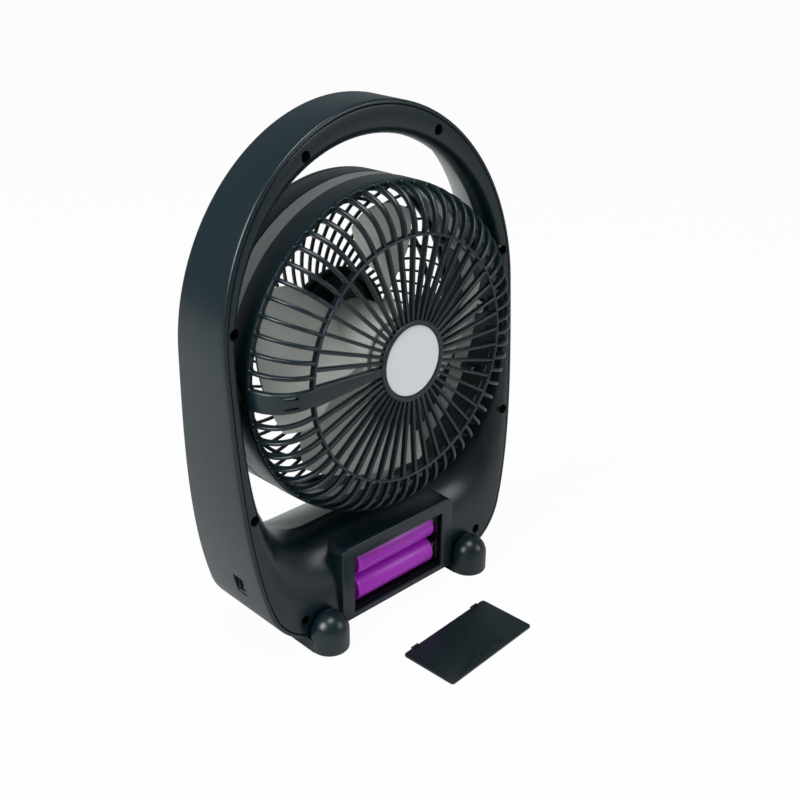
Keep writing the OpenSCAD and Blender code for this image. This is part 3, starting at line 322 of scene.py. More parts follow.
@dataclass
class Shape:
    """A mesh being gathered in millimetres, before it becomes an object.

    Each method that adds geometry takes, as matrix, the placement of what it adds and
    returns the shape itself, so that calls can be chained.
    """

    verts: list = field(default_factory=list)
    faces: list = field(default_factory=list)

    def add(self, verts: Iterable, faces: Iterable, matrix: Matrix = STILL) -> Shape:
        """Adds loose geometry.

        Args:
            verts: Points in mm.
            faces: Index tuples into those points.
        """
        start = len(self.verts)
        self.verts += [tuple(matrix @ Vector(v)) for v in verts]
        self.faces += [tuple(start + i for i in f) for f in faces]
        return self

    def sweep(
        self, rings: Sequence[Sequence], closed: bool = True, matrix: Matrix = STILL
    ) -> Shape:
        """Skins equal rings of points.

        Args:
            rings: The rings, each with as many points.
            closed: Whether the last ring joins the first; else the ends are flat.
        """
        n, m = len(rings), len(rings[0])
        verts = [p for ring in rings for p in ring]
        faces = [
            (i * m + j, i * m + (j + 1) % m, (i + 1) % n * m + (j + 1) % m, (i + 1) % n * m + j)
            for i in range(n if closed else n - 1)
            for j in range(m)
        ]
        if not closed:
            faces += [tuple(range(m))[::-1], tuple((n - 1) * m + j for j in range(m))]
        return self.add(verts, faces, matrix)

    def lathe(
        self, profile: Sequence[tuple[float, float]], steps: int = 160, matrix: Matrix = STILL
    ) -> Shape:
        """Turns a closed profile about the local Z axis.

        Args:
            profile: Points (radius, height).
            steps: How many rings make the full turn.
        """
        rings = []
        for k in range(steps):
            a = 2 * math.pi * k / steps
            rings.append([(r * math.cos(a), r * math.sin(a), w) for r, w in profile])
        return self.sweep(rings, True, matrix)

    def tube(self, path: Sequence, r: float, sides: int = 12, matrix: Matrix = STILL) -> Shape:
        """Lays a round tube along a path.

        Args:
            path: Points of the centre line.
            r: Radius.
            sides: How many sides it has.
        """
        pts = [Vector(p) for p in path]
        side = Vector((0.31, 0.17, 0.93))
        rings = []
        for i, p in enumerate(pts):
            ahead = (pts[min(i + 1, len(pts) - 1)] - pts[max(i - 1, 0)]).normalized()
            side = (side - ahead * side.dot(ahead)).normalized()
            up = ahead.cross(side)
            turns = [2 * math.pi * k / sides for k in range(sides)]
            rings.append([p + (side * math.cos(a) + up * math.sin(a)) * r for a in turns])
        return self.sweep(rings, False, matrix)

    def box(
        self, low: Sequence[float], high: Sequence[float], r: float = 0.0, seg: int = 3,
        matrix: Matrix = STILL,
    ) -> Shape:
        """Adds a block with rounded edges.

        Args:
            low, high: Its opposite corners.
            r: Radius of the edges.
            seg: Steps of each rounding.
        """
        bm = bmesh.new()
        bmesh.ops.create_cube(bm, size=1.0)
        low_v, high_v = Vector(low), Vector(high)
        size, mid = high_v - low_v, (high_v + low_v) / 2
        for v in bm.verts:
            v.co = Vector(c * s for c, s in zip(v.co, size)) + mid
        return self._rounded(bm, bm.edges[:], r, seg, matrix)

    def plate(
        self, outline: Sequence[Point], h0: float, h1: float, r: float = 0.0,
        seg: int = 3, matrix: Matrix = STILL,
    ) -> Shape:
        """Raises a flat outline along local Z.

        Args:
            outline: The closed outline.
            h0, h1: Heights of its underside and top.
            r: Radius of its rims.
            seg: Steps of each rounding.
        """
        bm = bmesh.new()
        low = [bm.verts.new((x, y, h0)) for x, y in outline]
        face = bm.faces.new(low)
        grown = bmesh.ops.extrude_face_region(bm, geom=[face])["geom"]
        for v in grown:
            if isinstance(v, bmesh.types.BMVert):
                v.co.z = h1
        bm.normal_update()
        bmesh.ops.recalc_face_normals(bm, faces=bm.faces)
        rims = [e for e in bm.edges if abs(e.verts[0].co.z - e.verts[1].co.z) < 1e-6]
        return self._rounded(bm, rims, r, seg, matrix)

    def _rounded(
        self, bm: bmesh.types.BMesh, edges: list, r: float, seg: int, matrix: Matrix
    ) -> Shape:
        """Rounds edges of a bmesh by r, moves the whole in and frees it."""
        if r > 0:
            bmesh.ops.bevel(bm, geom=edges, offset=r, segments=seg, profile=0.5, affect="EDGES")
        bm.verts.index_update()
        faces = [tuple(v.index for v in f.verts) for f in bm.faces]
        self.add([tuple(v.co) for v in bm.verts], faces, matrix)
        bm.free()
        return self

    def mesh(self, name: str) -> bpy.types.Mesh:
        """Makes the Blender mesh in metres in the row frame.

        Args:
            name: Name of the mesh.

        Returns:
            The mesh, with its faces turned outwards.
        """
        mesh = bpy.data.meshes.new(name)
        pts = [(x * MM, (y + SHIFT_Y) * MM, z * MM) for x, y, z in self.verts]
        mesh.from_pydata(pts, [], self.faces)
        bm = bmesh.new()
        bm.from_mesh(mesh)
        bmesh.ops.remove_doubles(bm, verts=bm.verts, dist=1e-7)
        bmesh.ops.recalc_face_normals(bm, faces=bm.faces)
        bm.to_mesh(mesh)
        bm.free()
        return mesh


def arc(cx: float, cy: float, r: float, a0: float, a1: float, steps: int = 6) -> list[Point]:
    """Points of an arc, ends included.

    Args:
        cx, cy: The centre.
        r: Radius.
        a0, a1: Angles of its ends, in degrees.
        steps: How many pieces it has.

    Returns:
        The points.
    """
    turns = [math.radians(a0 + (a1 - a0) * k / steps) for k in range(steps + 1)]
    return [(cx + r * math.cos(t), cy + r * math.sin(t)) for t in turns]


def rounded_outline(
    w: float, h: float, r: float, cx: float = 0.0, cy: float = 0.0, steps: int = 6
) -> list[Point]:
    """A rectangle with round corners.

    Args:
        w, h: Its sizes.
        r: Radius of the corners.
        cx, cy: The centre.
        steps: How many pieces each corner has.

    Returns:
        The closed outline.
    """
    out = []
    for k, (sx, sy) in enumerate(((1, 1), (-1, 1), (-1, -1), (1, -1))):
        x, y = cx + sx * w / 2 - sx * r, cy + sy * h / 2 - sy * r
        out += arc(x, y, r, 90 * k, 90 * k + 90, steps)
    return out


def ring_profile(r_in: float, r_out: float, w0: float, w1: float, round_r: float) -> list[Point]:
    """Profile of a ring from height w0 to w1 with rounded corners, for Shape.lathe."""
    return rounded_outline(r_out - r_in, w1 - w0, round_r, (r_in + r_out) / 2, (w0 + w1) / 2, 5)


def rod_profile(r: float, w0: float, w1: float, core_r: float = 0.001) -> list[Point]:
    """Profile of a rod from height w0 to w1, all but solid, for Shape.lathe."""
    return [(core_r, w0), (r, w0), (r, w1), (core_r, w1)]


def pin_holes(reach: Point, y: float, z: float, r: float, matrix: Matrix = STILL) -> Shape:
    """Rods along X, one to each side, that cut the holes of the tilt pins.

    Args:
        reach: Where each rod starts and ends, away from the middle.
        y, z: Where the rods lie.
        r: Radius of the holes.
        matrix: Placement.

    Returns:
        Both rods as one shape.
    """
    rods = Shape()
    for side in (-1, 1):
        low, high = sorted((side * reach[0], side * reach[1]))
        rods.tube([(low, y, z), (high, y, z)], r, 40, matrix)
    return rods


TO_FRONT = Matrix.Rotation(math.pi / 2, 4, "X")
ALONG_X = Matrix.Rotation(math.pi / 2, 4, "Y")


def facing_rear(x: float, y: float, z: float) -> Matrix:
    """Placement whose local Z points to the rear (+Y) and local Y down."""
    return Matrix.Translation((x, y, z)) @ Matrix.Rotation(-math.pi / 2, 4, "X")


@dataclass(frozen=True)
class Piece:
    """What a shape becomes: its name, body, look and the CAD nodes it stands for."""

    name: str
    body: str
    finish: Finish
    slot: str
    nodes: tuple[str, ...] = ()
    sharp_deg: float = 35.0


def dark(name: str, body: str, nodes: tuple[str, ...] = (), sharp_deg: float = 35.0) -> Piece:
    """A piece in the dark plastic of the frame and head; see Piece for the rest."""
    return Piece(name, body, Finish.FRAME, "frame_plastic", nodes, sharp_deg)


class PolarArray:
    """A Geometry Nodes group that turns copies of a mesh about an axis."""

    def __init__(self) -> None:
        """Builds the node group and keeps the identifiers of its inputs."""
        tree = bpy.data.node_groups.new("polar_array", "GeometryNodeTree")
        face = tree.interface
        self.ids: dict[str, str] = {}
        for name, kind in (
            ("Geometry", "Geometry"), ("Count", "Int"), ("Step", "Float"), ("Start", "Float"),
            ("Material", "Material"),
        ):
            socket = face.new_socket(name, in_out="INPUT", socket_type=f"NodeSocket{kind}")
            self.ids[name] = socket.identifier
        face.new_socket("Geometry", in_out="OUTPUT", socket_type="NodeSocketGeometry")
        new = tree.nodes.new
        source, sink = new("NodeGroupInput"), new("NodeGroupOutput")
        points, index = new("GeometryNodePoints"), new("GeometryNodeInputIndex")
        times, plus, turn = (new(f"ShaderNode{kind}") for kind in ("Math", "Math", "CombineXYZ"))
        times.operation, plus.operation = "MULTIPLY", "ADD"
        copies, real = new("GeometryNodeInstanceOnPoints"), new("GeometryNodeRealizeInstances")
        wear = new("GeometryNodeSetMaterial")
        wire(
            tree,
            (source, "Count", points, "Count"), (index, 0, times, 0), (source, "Step", times, 1),
            (times, 0, plus, 0), (source, "Start", plus, 1), (plus, 0, turn, "Z"),
            (points, 0, copies, "Points"), (source, "Geometry", copies, "Instance"),
            (turn, 0, copies, "Rotation"), (copies, 0, real, 0), (real, 0, wear, "Geometry"),
            (source, "Material", wear, "Material"), (wear, 0, sink, 0),
        )
        self.tree = tree

    def spread(
        self, shape: Shape, count: int, start: float, material: bpy.types.Material, matrix: Matrix
    ) -> Shape:
        """Copies a shape round the local Z axis and places the result.

        Args:
            shape: One copy, in mm in the local frame.
            count: How many copies make a full turn.
            start: Turn of the first copy, in radians.
            material: Material that the copies wear.
            matrix: Placement of the local frame.

        Returns:
            The copies as one shape.
        """
        mesh = bpy.data.meshes.new("one_copy")
        mesh.from_pydata([tuple(v) for v in shape.verts], [], shape.faces)
        holder = put("copies", mesh)
        mod = holder.modifiers.new("Polar array", "NODES")
        mod.node_group = self.tree
        values = {"Count": count, "Step": 2 * math.pi / count, "Start": start, "Material": material}
        for name, value in values.items():
            mod[self.ids[name]] = value
        made, out = baked(holder), Shape()
        faces = [tuple(p.vertices) for p in made.polygons]
        out.add([tuple(v.co) for v in made.vertices], faces, matrix)
        bpy.data.objects.remove(holder)
        bpy.data.meshes.remove(made)
        bpy.data.meshes.remove(mesh)
        return out


class Workshop:
    """Turns shapes into finished pieces that ride on their bodies."""

    def __init__(self, frame: dict) -> None:
        self.frame = frame
        self.materials = MaterialShop()
        self.polar = PolarArray()

    def make(self, piece: Piece, shape: Shape, cuts: Sequence[Shape] = ()) -> bpy.types.Object:
        """Builds a piece.

        Args:
            piece: What it is and what it stands for.
            shape: Its geometry.
            cuts: Closed shapes to take away from it.

        Returns:
            The finished object.
        """
        obj = put(piece.name, shape.mesh(piece.name))
        self._cut(obj, cuts)
        mesh = obj.data
        mesh.materials.clear()
        mesh.materials.append(self.materials.get(piece.finish))
        for key, value in (("material_index", 0), ("use_smooth", True)):
            mesh.polygons.foreach_set(key, [value] * len(mesh.polygons))
        mesh.set_sharp_from_angle(angle=math.radians(piece.sharp_deg))
        mesh.update()
        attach(obj, piece.body)
        if piece.nodes:
            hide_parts(*piece.nodes)
        LOG.info("%s: %d faces on %s", piece.name, len(mesh.polygons), piece.body)
        return obj

    @staticmethod
    def _cut(obj: bpy.types.Object, cuts: Sequence[Shape]) -> None:
        """Takes closed shapes away from an object, one after the other."""
        for k, cut in enumerate(cuts):
            tool = put(f"{obj.name}_tool_{k}", cut.mesh("tool"))
            mod = obj.modifiers.new("Cut", "BOOLEAN")
            mod.operation, mod.solver, mod.object = "DIFFERENCE", "EXACT", tool
            made = baked(obj)
            obj.modifiers.clear()
            old, obj.data = obj.data, made
            bpy.data.meshes.remove(old)
            bpy.data.objects.remove(tool)

    def paint(self, finish: Finish, *names: str) -> None:
        """Gives CAD nodes that show as they are their material.

        Args:
            finish: The material.
            names: The nodes.
        """
        for name in names:
            mesh = self.frame["nodes"][name].data
            mesh.materials.clear()
            mesh.materials.append(self.materials.get(finish))
            LOG.info("%s: CAD node painted %s", name, finish.value.name)


# ---- Loop frame


@dataclass
class LoopFrame:
    """The deep band, rear cover with its battery box, fascia and feet; sizes in mm."""

    shop: Workshop
    band_wall: float = 2.4
    band_outer_r: float = 1.6
    band_inner_r: float = 0.4
    port: Corners = ((86, -1.5, 39.5), (112, 7.5, 52.5))
    inlet: Corners = ((-112, 0.8, 40.8), (-86, 5.2, 51.2))
    part_y: float = -1.0
    cover_in: float = 2.75
    cover_wall: float = 2.2
    cover_edge_r: float = 0.8
    cover_steps: int = 18
    rim_share: float = 0.34
    roll_power: float = 2.2
    screws: tuple[Point, ...] = (
        (48.25, 284.96), (102.37, 204.37), (101.4, 98.2), (73.23, 21.06),
    )
    well_r: float = 3.1
    well_bore_r: float = 1.3
    well_out_r: float = 3.9
    pin_hole_r: float = 3.9
    pin_hole_x: Point = (97.0, 112.0)
    box_w: float = 93.8
    box_top_z: float = 57.8
    box_corner_r: float = 6.0
    box_y: Point = (12.0, 31.3)
    room_half_w: float = 44.9
    room_top_z: float = 55.8
    bay_w: float = 74.6
    bay_h: float = 38.9
    bay_z: float = 10.4
    latch_half_w: float = 3.9
    fascia_in: float = 2.6
    fascia_wall: float = 2.0
    fascia_open_y: float = -4.0
    bevel_w: float = 6.0
    bevel_share: float = 0.62
    bevel_lead: float = 3.0
    bevel_depth: float = 5.0
    bevel_round: float = 0.35
    panel_y: float = -31.5
    control_z: float = 41.0
    button_x: tuple[float, ...] = (-24, 24)
    button_hole_r: float = 6.8
    pipe_x: tuple[float, ...] = (-5, 0, 5)
    pipe_hole_r: float = 1.7
    window: tuple[float, float, float] = (84.4, 14.4, 4.0)
    window_z: float = 22.0
    foot_x: float = 60.1
    foot_y: float = 34.1
    foot_r: float = 11.9
    foot_dome_z: float = 12.0
    foot_base_z: float = 0.2
    foot_edge_r: float = 0.8
    rail_len: float = 55.1
    rail_gap: float = 0.2

    @staticmethod
    def _loop(line: Outline, section: Sequence[tuple[float, Callable[[float], float]]]) -> Shape:
        """Sweeps a section, pairs of an inset and y as a function of z, round an outline."""
        tracks = [(line.points(inset), y_at) for inset, y_at in section]
        rings = [
            [(track[i][0], y_at(track[i][1]), track[i][1]) for track, y_at in tracks]
            for i in range(len(tracks[0][0]))
        ]
        return Shape().sweep(rings)

    def band(self) -> None:
        """The outer band: rounded at its rear and front edges."""
        out_r, in_r, wall = self.band_outer_r, self.band_inner_r, self.band_wall

        def at_rear(back: float) -> Callable[[float], float]:
            """Y this far in from the rear plane, at a height z."""
            return lambda z: rear_y(z) - back

        def at_front(back: float) -> Callable[[float], float]:
            """Y this far in from the front plane, at a height z."""
            return lambda z: front_y(z) + back

        section = [(0.0, at_front(out_r)), (0.0, at_rear(out_r + 3.0))]
        for side, cx, r, a0, a1, steps in (
            (at_rear, out_r, out_r, 180, 270, 5),
            (at_rear, wall - in_r, in_r, 270, 360, 4),
            (at_front, wall - in_r, in_r, 360, 270, 4),
            (at_front, out_r, out_r, 270, 180, 5),
        ):
            section += [(x, side(y)) for x, y in arc(cx, r, r, a0, a1, steps)]
        shape = self._loop(FRAME_LINE, section[:-1])
        cuts = [Shape().box(*self.port, 0.6, 2), Shape().box(*self.inlet, 1.6, 3)]
        self.shop.make(dark("outer_band_v", "frame", ("outer_band",), 30), shape, cuts)

    def _roll(self, t: float) -> float:
        """Share of the depth that is left at a share t of the roll."""
        return max(0.0, 1 - t**self.roll_power) ** (1 / self.roll_power)

    def _cover_skin(self) -> Shape:
        """The rear cover's skin: flat rim and a roll into the opening."""
        rings = []
        r, wall, share, steps = self.cover_edge_r, self.cover_wall, self.rim_share, self.cover_steps
        turns = [math.sin(math.pi / 2 * k / steps) for k in range(steps + 1)]
        for o, i in zip(FRAME_LINE.points(self.cover_in), OPEN_LINE.points(0.0)):
            width = math.dist(o, i)

            def at(s: float, deep: float, height: float = 1.0) -> Point3:
                """Point at a share s of the way in, this deep and this far off the part line."""
                x, z = o[0] + (i[0] - o[0]) * s, o[1] + (i[1] - o[1]) * s
                return x, self.part_y + (rear_y(z) - deep - self.part_y) * height, z

            end = 1 - wall / width
            rim = min(share, end * share)
            ring = [at(x / width, y) for x, y in arc(r, r, r, 180, 270, 5)]
            ring += [at(share + (1 - share) * t, 0.0, self._roll(t)) for t in turns]
            ring += [at(rim + (end - rim) * t, wall, self._roll(t)) for t in turns[::-1]]
            rings.append(ring + [at(0, wall)])
        return Shape().sweep(rings)

    def _screw_places(self) -> list[Matrix]:
        """Placements of the rear screws, facing the rear."""
        return [facing_rear(s * x, rear_y(z), z) for s in (-1, 1) for x, z in self.screws]

    def rear_cover(self) -> None:
        """The rear cover with its battery box, sill and screw wells."""
        wells, w = Shape(), self.room_half_w
        for place in self._screw_places():
            wells.lathe(rod_profile(self.well_r, -40, 4), 40, place)
        room = Shape().box((-w, self.box_y[0], 3.0), (w, 45.0, self.room_top_z), 4.0, 4)
        pins = pin_holes(self.pin_hole_x, TILT_Y, TILT_Z, self.pin_hole_r)
        piece = dark("rear_cover_v", "frame", ("rear_cover",), 32)
        self.shop.make(piece, self._cover_skin(), [wells, room, pins])
        self._battery_box()
        self._wells()

    def _battery_box(self) -> None:
        """The box round the battery opening, with its own seam, sill and latch notch."""
        w, top, r = self.box_w / 2, self.box_top_z, self.box_corner_r
        front, rear = self.box_y
        outline = arc(w - r, top - r, r, 0, 90, 8) + arc(r - w, top - r, r, 90, 180, 8)
        outline += [(-w, FRAME_LINE.bottom), (w, FRAME_LINE.bottom)]
        place = Matrix.Translation((0, rear, 0)) @ TO_FRONT
        body = Shape().plate(outline, 0.0, rear - front, 0.7, 3, place)
        room, bay, latch = self.room_half_w, self.bay_w / 2, self.latch_half_w
        low, high = self.bay_z, self.bay_z + self.bay_h
        cuts = [
            Shape().box((-room, 11.0, 2.0), (room, rear - 1.6, self.room_top_z), 0.5, 2),
            Shape().box((-bay, 20.0, low), (bay, 40.0, high), 0.5, 2),
            Shape().box((-latch, 20.0, high - 2), (latch, rear - 1.2, high + 1.6), 0.3, 2),
        ]
        self.shop.make(dark("battery_box_v", "frame", (), 32), body, cuts)

    def _wells(self) -> None:
        """Tubes of the screw wells behind each recess, in black plastic as painted shade inside."""
        r, bore, out = self.well_r, self.well_bore_r, self.well_out_r
        profile = [(r, -0.5), (r, -10.4), (bore, -10.4), (bore, -12.0), (out, -12.0), (out, -2.0)]
        wells = Shape()
        for place in self._screw_places():
            wells.lathe(profile, 36, place)
        # the black finish paints shade into the wells, which are moulded in the cover's plastic
        self.shop.make(Piece("screw_wells_v", "frame", Finish.BLACK, "frame_plastic"), wells)

    def _fascia_skin(self) -> Shape:
        """The front fascia's skin: a leaning face and a bevel into the opening."""
        rings = []
        wall, open_y, back_y = self.fascia_wall, self.fascia_open_y, self.part_y - 0.2
        for o, i in zip(FRAME_LINE.points(self.fascia_in), OPEN_LINE.points(0.0)):
            width = math.dist(o, i)
            top = 1 - min(self.bevel_w, self.bevel_share * width) / width
            flat = max(0.0, top - self.bevel_lead / width)
            skin = wall / width

            def at(s: float, y: float) -> Point3:
                """Point at a share s of the way in, at this y."""
                return o[0] + (i[0] - o[0]) * s, y, o[1] + (i[1] - o[1]) * s

            def face_y(s: float) -> float:
                """Y of the front plane at a share s of the way in."""
                return front_y(o[1] + (i[1] - o[1]) * s)

            start, end = (flat, face_y(flat)), (1.0, open_y)
            knee = (top, face_y(top) + self.bevel_depth)
            ring = [at(0.0, front_y(o[1])), at(*start)]
            for t in (k / 6 for k in range(1, 6)):
                a = [(1 - t) * p + t * q for p, q in zip(start, knee)]
                b = [(1 - t) * p + t * q for p, q in zip(knee, end)]
                w = self.bevel_round * t
                ring.append(at(*((1 - w) * p + w * q for p, q in zip(a, b))))
            ring += [at(1.0, open_y), at(1.0, back_y), at(1 - skin, back_y), at(1 - skin, open_y)]
            ring.append(at(max(top - skin, skin), face_y(top) + self.bevel_depth + 1.0))
            ring.append(at(max(flat - skin, skin / 2), face_y(flat) + wall))
            rings.append(ring + [at(0.0, front_y(o[1]) + wall)])
        return Shape().sweep(rings)

    def fascia(self) -> None:
        """The pale front fascia with the holes of its buttons, pipes and light window."""
        holes, y = Shape(), self.panel_y
        for places, r, steps in (
            (self.button_x, self.button_hole_r, 64),
            (self.pipe_x, self.pipe_hole_r, 32),
        ):
            for x in places:
                holes.lathe(rod_profile(r, -8, 8), steps, facing_rear(x, y, self.control_z))
        outline = rounded_outline(*self.window)
        window = Shape().plate(outline, -8, 8, 0, 2, facing_rear(0, y, self.window_z))
        piece = Piece("front_fascia_v", "frame", Finish.PALE, "pale_plastic", ("front_fascia",), 40)
        self.shop.make(piece, self._fascia_skin(), [holes, window])

    def feet(self) -> None:
        """The two domed feet with the rails under the base."""
        mid, y, r = self.foot_x, self.foot_y, self.foot_r
        base, edge, gap = self.foot_base_z, self.foot_edge_r, self.rail_gap
        bend_x, bend_r, floor = FRAME_LINE.corner_x, FRAME_LINE.corner_r, FRAME_LINE.bottom
        under = [(mid - r, floor - gap), (bend_x, floor - gap)]
        for k in range(1, 9):
            x = bend_x + (mid + r - bend_x) * k / 8
            under.append((x, floor + bend_r - math.sqrt(bend_r**2 - (x - bend_x) ** 2) - gap))
        outline = [(mid + r, base), *under[::-1], (mid - r, base)]
        dome = [(AXIS_R, self.foot_dome_z + r)] + arc(0, self.foot_dome_z, r, 88, 0, 20)
        dome += [(r, base + edge)] + arc(r - edge, base + edge, edge, 0, -90, 4)[1:]
        dome.append((AXIS_R, base))
        for side, node in ((1, "foot_left"), (-1, "foot_right")):
            x = side * mid
            foot = Shape().lathe(dome, 96, Matrix.Translation((x, y, 0)))
            body = Shape().box((x - 20, 0, floor - 0.25), (x + 20, rear_y(0) + 0.6, 60))
            self.shop.make(dark(f"{node}_v", "frame", (node,)), foot, [body])
            place = Matrix.Translation((0, y, 0)) @ TO_FRONT
            profile = outline if side > 0 else [(-x, z) for x, z in outline[::-1]]
            rail = Shape().plate(profile, 0.0, self.rail_len, 0.5, 3, place)
            self.shop.make(dark(f"{node}_rail_v", "frame"), rail)

    def build(self) -> None:
        """Builds the whole loop frame."""
        self.band()
        self.rear_cover()
        self.fascia()
        self.feet()


# ---- Head


@dataclass
class Head:
    """The tilting head: rear cage, rings and front grille; sizes in mm.

    Heights (w) run along the head's axis and are positive towards the rear.
    """

    shop: Workshop
    outer_r: float = 98.0
    shoulder_r: float = 71.7
    shoulder_w: float = 39.7
    hub_r: float = 24.1
    cage_r: float = 97.8
    cage_w: float = 11.0
    cage_power: float = 2.4
    inner_ribs: int = 45
    outer_ribs: int = 60
    rib_depth: float = 3.8
    inner_rib_w: float = 2.0
    outer_rib_w: float = 2.2
    slot_end: float = 17.0
    slot_fillet: float = 2.2
    rim_profile: tuple[Point, ...] = (
        (98.0, 10.9), (97.95, 12.4), (97.9, 14.2), (97.72, 16.0), (97.4, 16.8), (96.6, 17.0),
        (94.6, 16.8), (94.5, 16.2), (95.0, 12.0),
    )
    hub_profile: tuple[Point, ...] = (
        (21.4, 40.6), (20.9, 40.2), (20.8, 39.3), (AXIS_R, 39.3),
    )
    label_profile: tuple[Point, ...] = (
        (AXIS_R, 39.3), (20.6, 39.3), (20.6, 39.7), (20.5, 39.8), (AXIS_R, 39.8),
    )
    pin_hole_r: float = 3.65
    pin_hole_x: Point = (90.0, 102.0)
    arm_depth: float = 2.6
    arm_w: Point = (5.0, 6.2)
    slit_r: Point = (81.5, 88.5)
    slit_y: float = 2.75
    middle_ring: tuple[float, ...] = (94.1, 97.7, -10.0, 0.4, 0.5)
    front_ring: tuple[float, ...] = (94.3, 97.9, -24.8, -10.2, 0.6)
    lug_turns: tuple[int, ...] = (25, 155, 205, 335)
    lug_r: float = 92.8
    spiral_ribs: int = 46
    spiral_lag: float = math.radians(-35.0)
    spiral_r: Point = (38.1, 93.6)
    spiral_w: float = -26.4
    spiral_section: tuple[float, float, float] = (1.4, 2.6, 0.6)
    spiral_steps: int = 20
    cap_profile: tuple[Point, ...] = (
        (38.1, -28.2), (36.5, -28.2), (36.5, -22.6), (34.3, -22.6), (34.3, -28.2), (AXIS_R, -28.2),
    )

    def _cage_path(self, inset: float, start_r: float) -> list[tuple[Vector, Vector]]:
        """Centre line of a rib as (point, outward normal), from a start radius out."""
        turns = [74.0 * k / 20 for k in range(20)] + [74.0 + 0.75 * k for k in range(13)]
        shoulder, back, power = self.shoulder_r, self.shoulder_w, 2 / self.cage_power
        pts = [(start_r, back), ((start_r + shoulder) / 2, back)]
        for t in map(math.radians, turns + [86.0, 90.0]):
            r = shoulder + (self.cage_r - shoulder) * math.sin(t) ** power
            pts.append((r, self.cage_w + (back - self.cage_w) * max(0.0, math.cos(t)) ** power))
        out = []
        for k, p in enumerate(pts):
            a, b = pts[max(k - 1, 0)], pts[min(k + 1, len(pts) - 1)]
            d = Vector((b[0] - a[0], b[1] - a[1])).normalized()
            normal = Vector((-d.y, d.x))
            out.append((Vector(p) - normal * inset, normal))
        return out

    @staticmethod
    def _strip(
        path: Sequence[tuple[Vector, Vector]], width: Callable[[Vector], float], depth: float,
        round_r: float,
    ) -> Shape:
        """A rounded bar along points with normals, at angle zero of the head."""
        rings = []
        for mid, normal in path:
            section = rounded_outline(width(mid), depth, round_r, 0, 0, 4)
            rings.append([(mid.x + normal.x * n, t, mid.y + normal.y * n) for t, n in section])
        return Shape().sweep(rings, closed=False)

    def _outer_width(self, point: Vector) -> float:
        """Width of an outer rib: it flares where the slots end in round corners."""
        fillet, up = self.slot_fillet, point.y + 0.8 - self.slot_end
        if up >= fillet:
            return self.outer_rib_w
        reach = math.sqrt(max(0.0, fillet**2 - (fillet - max(up, 0.0)) ** 2))
        return self.outer_rib_w + 2 * (fillet - reach)

    def rear_grille(self) -> None:
        """The rear cage: rim, ribs, shoulder ring, hub disc and the wire arm."""
        shop, hub, shoulder, depth = self.shop, self.hub_r, self.shoulder_r, self.rib_depth
        flat = [
            (Vector((r, self.shoulder_w - depth / 2)), Vector((0.0, 1.0)))
            for r in (hub - 1.0, hub + 8.0, (hub + shoulder) / 2, shoulder)
        ]
        inner = self._strip(flat, lambda _: self.inner_rib_w, depth, 0.85)
        outer = self._strip(
            self._cage_path(depth / 2, shoulder - 0.4), self._outer_width, depth, 0.95
        )
        for piece, rib, count in (
            (dark("inner_ribs_v", "head", ("rear_grille",), 40), inner, self.inner_ribs),
            (dark("outer_ribs_v", "head", (), 40), outer, self.outer_ribs),
        ):
            wear = shop.materials.get(piece.finish)
            shop.make(piece, shop.polar.spread(rib, count, math.pi / count, wear, HEAD))
        rings = Shape()
        rim = [(95.0, 0.6), (97.6, 0.6)] + arc(97.6, 1.1, 0.5, -90, 0, 3)
        rings.lathe(rim + list(self.rim_profile), 240, HEAD)
        rings.lathe(ring_profile(shoulder - 0.8, shoulder + 0.8, 35.7, 39.9, 0.6), 200, HEAD)
        disc = [(AXIS_R, 36.6), (23.6, 36.6)] + arc(23.1, 39.6, 1.0, 0, 90, 6)
        rings.lathe(disc + list(self.hub_profile), 160, HEAD)
        holes = pin_holes(self.pin_hole_x, 0, TILT_Y, self.pin_hole_r, HEAD)
        shop.make(dark("rear_rim_v", "head", (), 32), rings, [holes])
        self._arm()
        label = Shape().lathe(self.label_profile, 128, HEAD)
        piece = Piece("rear_label_v", "head", Finish.LABEL, "label_white", ("rear_label_plate",))
        shop.make(piece, label)

    def _arm(self) -> None:
        """The tapered arm over the motor's lead, with two slits near the rim."""
        start, (root_w, gain) = self.hub_r, self.arm_w
        length = self.outer_r + 2.0 - start
        path = self._cage_path(1.2, start - 1.0)
        arm = self._strip(
            path, lambda p: root_w + gain * (p.x - start + 1.0) / length, self.arm_depth, 0.5
        )
        slits, (low, high) = Shape(), self.slit_r
        for y in (-self.slit_y, self.slit_y):
            slits.box((low, y - 0.8, 14), (high, y + 0.8, 45), 0.6, 3, HEAD)
        placed = Shape().add(arm.verts, arm.faces, HEAD)
        self.shop.make(dark("wire_arm_v", "head", (), 40), placed, [slits])

    def rings(self) -> None:
        """The pale middle ring, the dark front ring and the hollow screw lugs."""
        pale = (Finish.PALE, "pale_plastic")
        for piece, profile in (
            (Piece("middle_ring_v", "head", *pale, ("middle_ring",)), self.middle_ring),
            (dark("front_ring_v", "head", ("front_ring",)), self.front_ring),
        ):
            self.shop.make(piece, Shape().lathe(ring_profile(*profile), 240, HEAD))
        for piece, low, high in (
            (dark("rear_lugs_v", "head"), 0.8, 9.0),
            (Piece("middle_lugs_v", "head", *pale), -9.8, 0.2),
            (dark("front_lugs_v", "head"), -20.0, -10.4),
        ):
            lugs = Shape()
            for turn in self.lug_turns:
                spin = Matrix.Rotation(math.radians(turn), 4, "Z")
                place = HEAD @ spin @ Matrix.Translation((self.lug_r, 0, 0))
                lugs.lathe(ring_profile(1.2, 2.6, low, high, 0.3), 36, place)
            self.shop.make(piece, lugs)

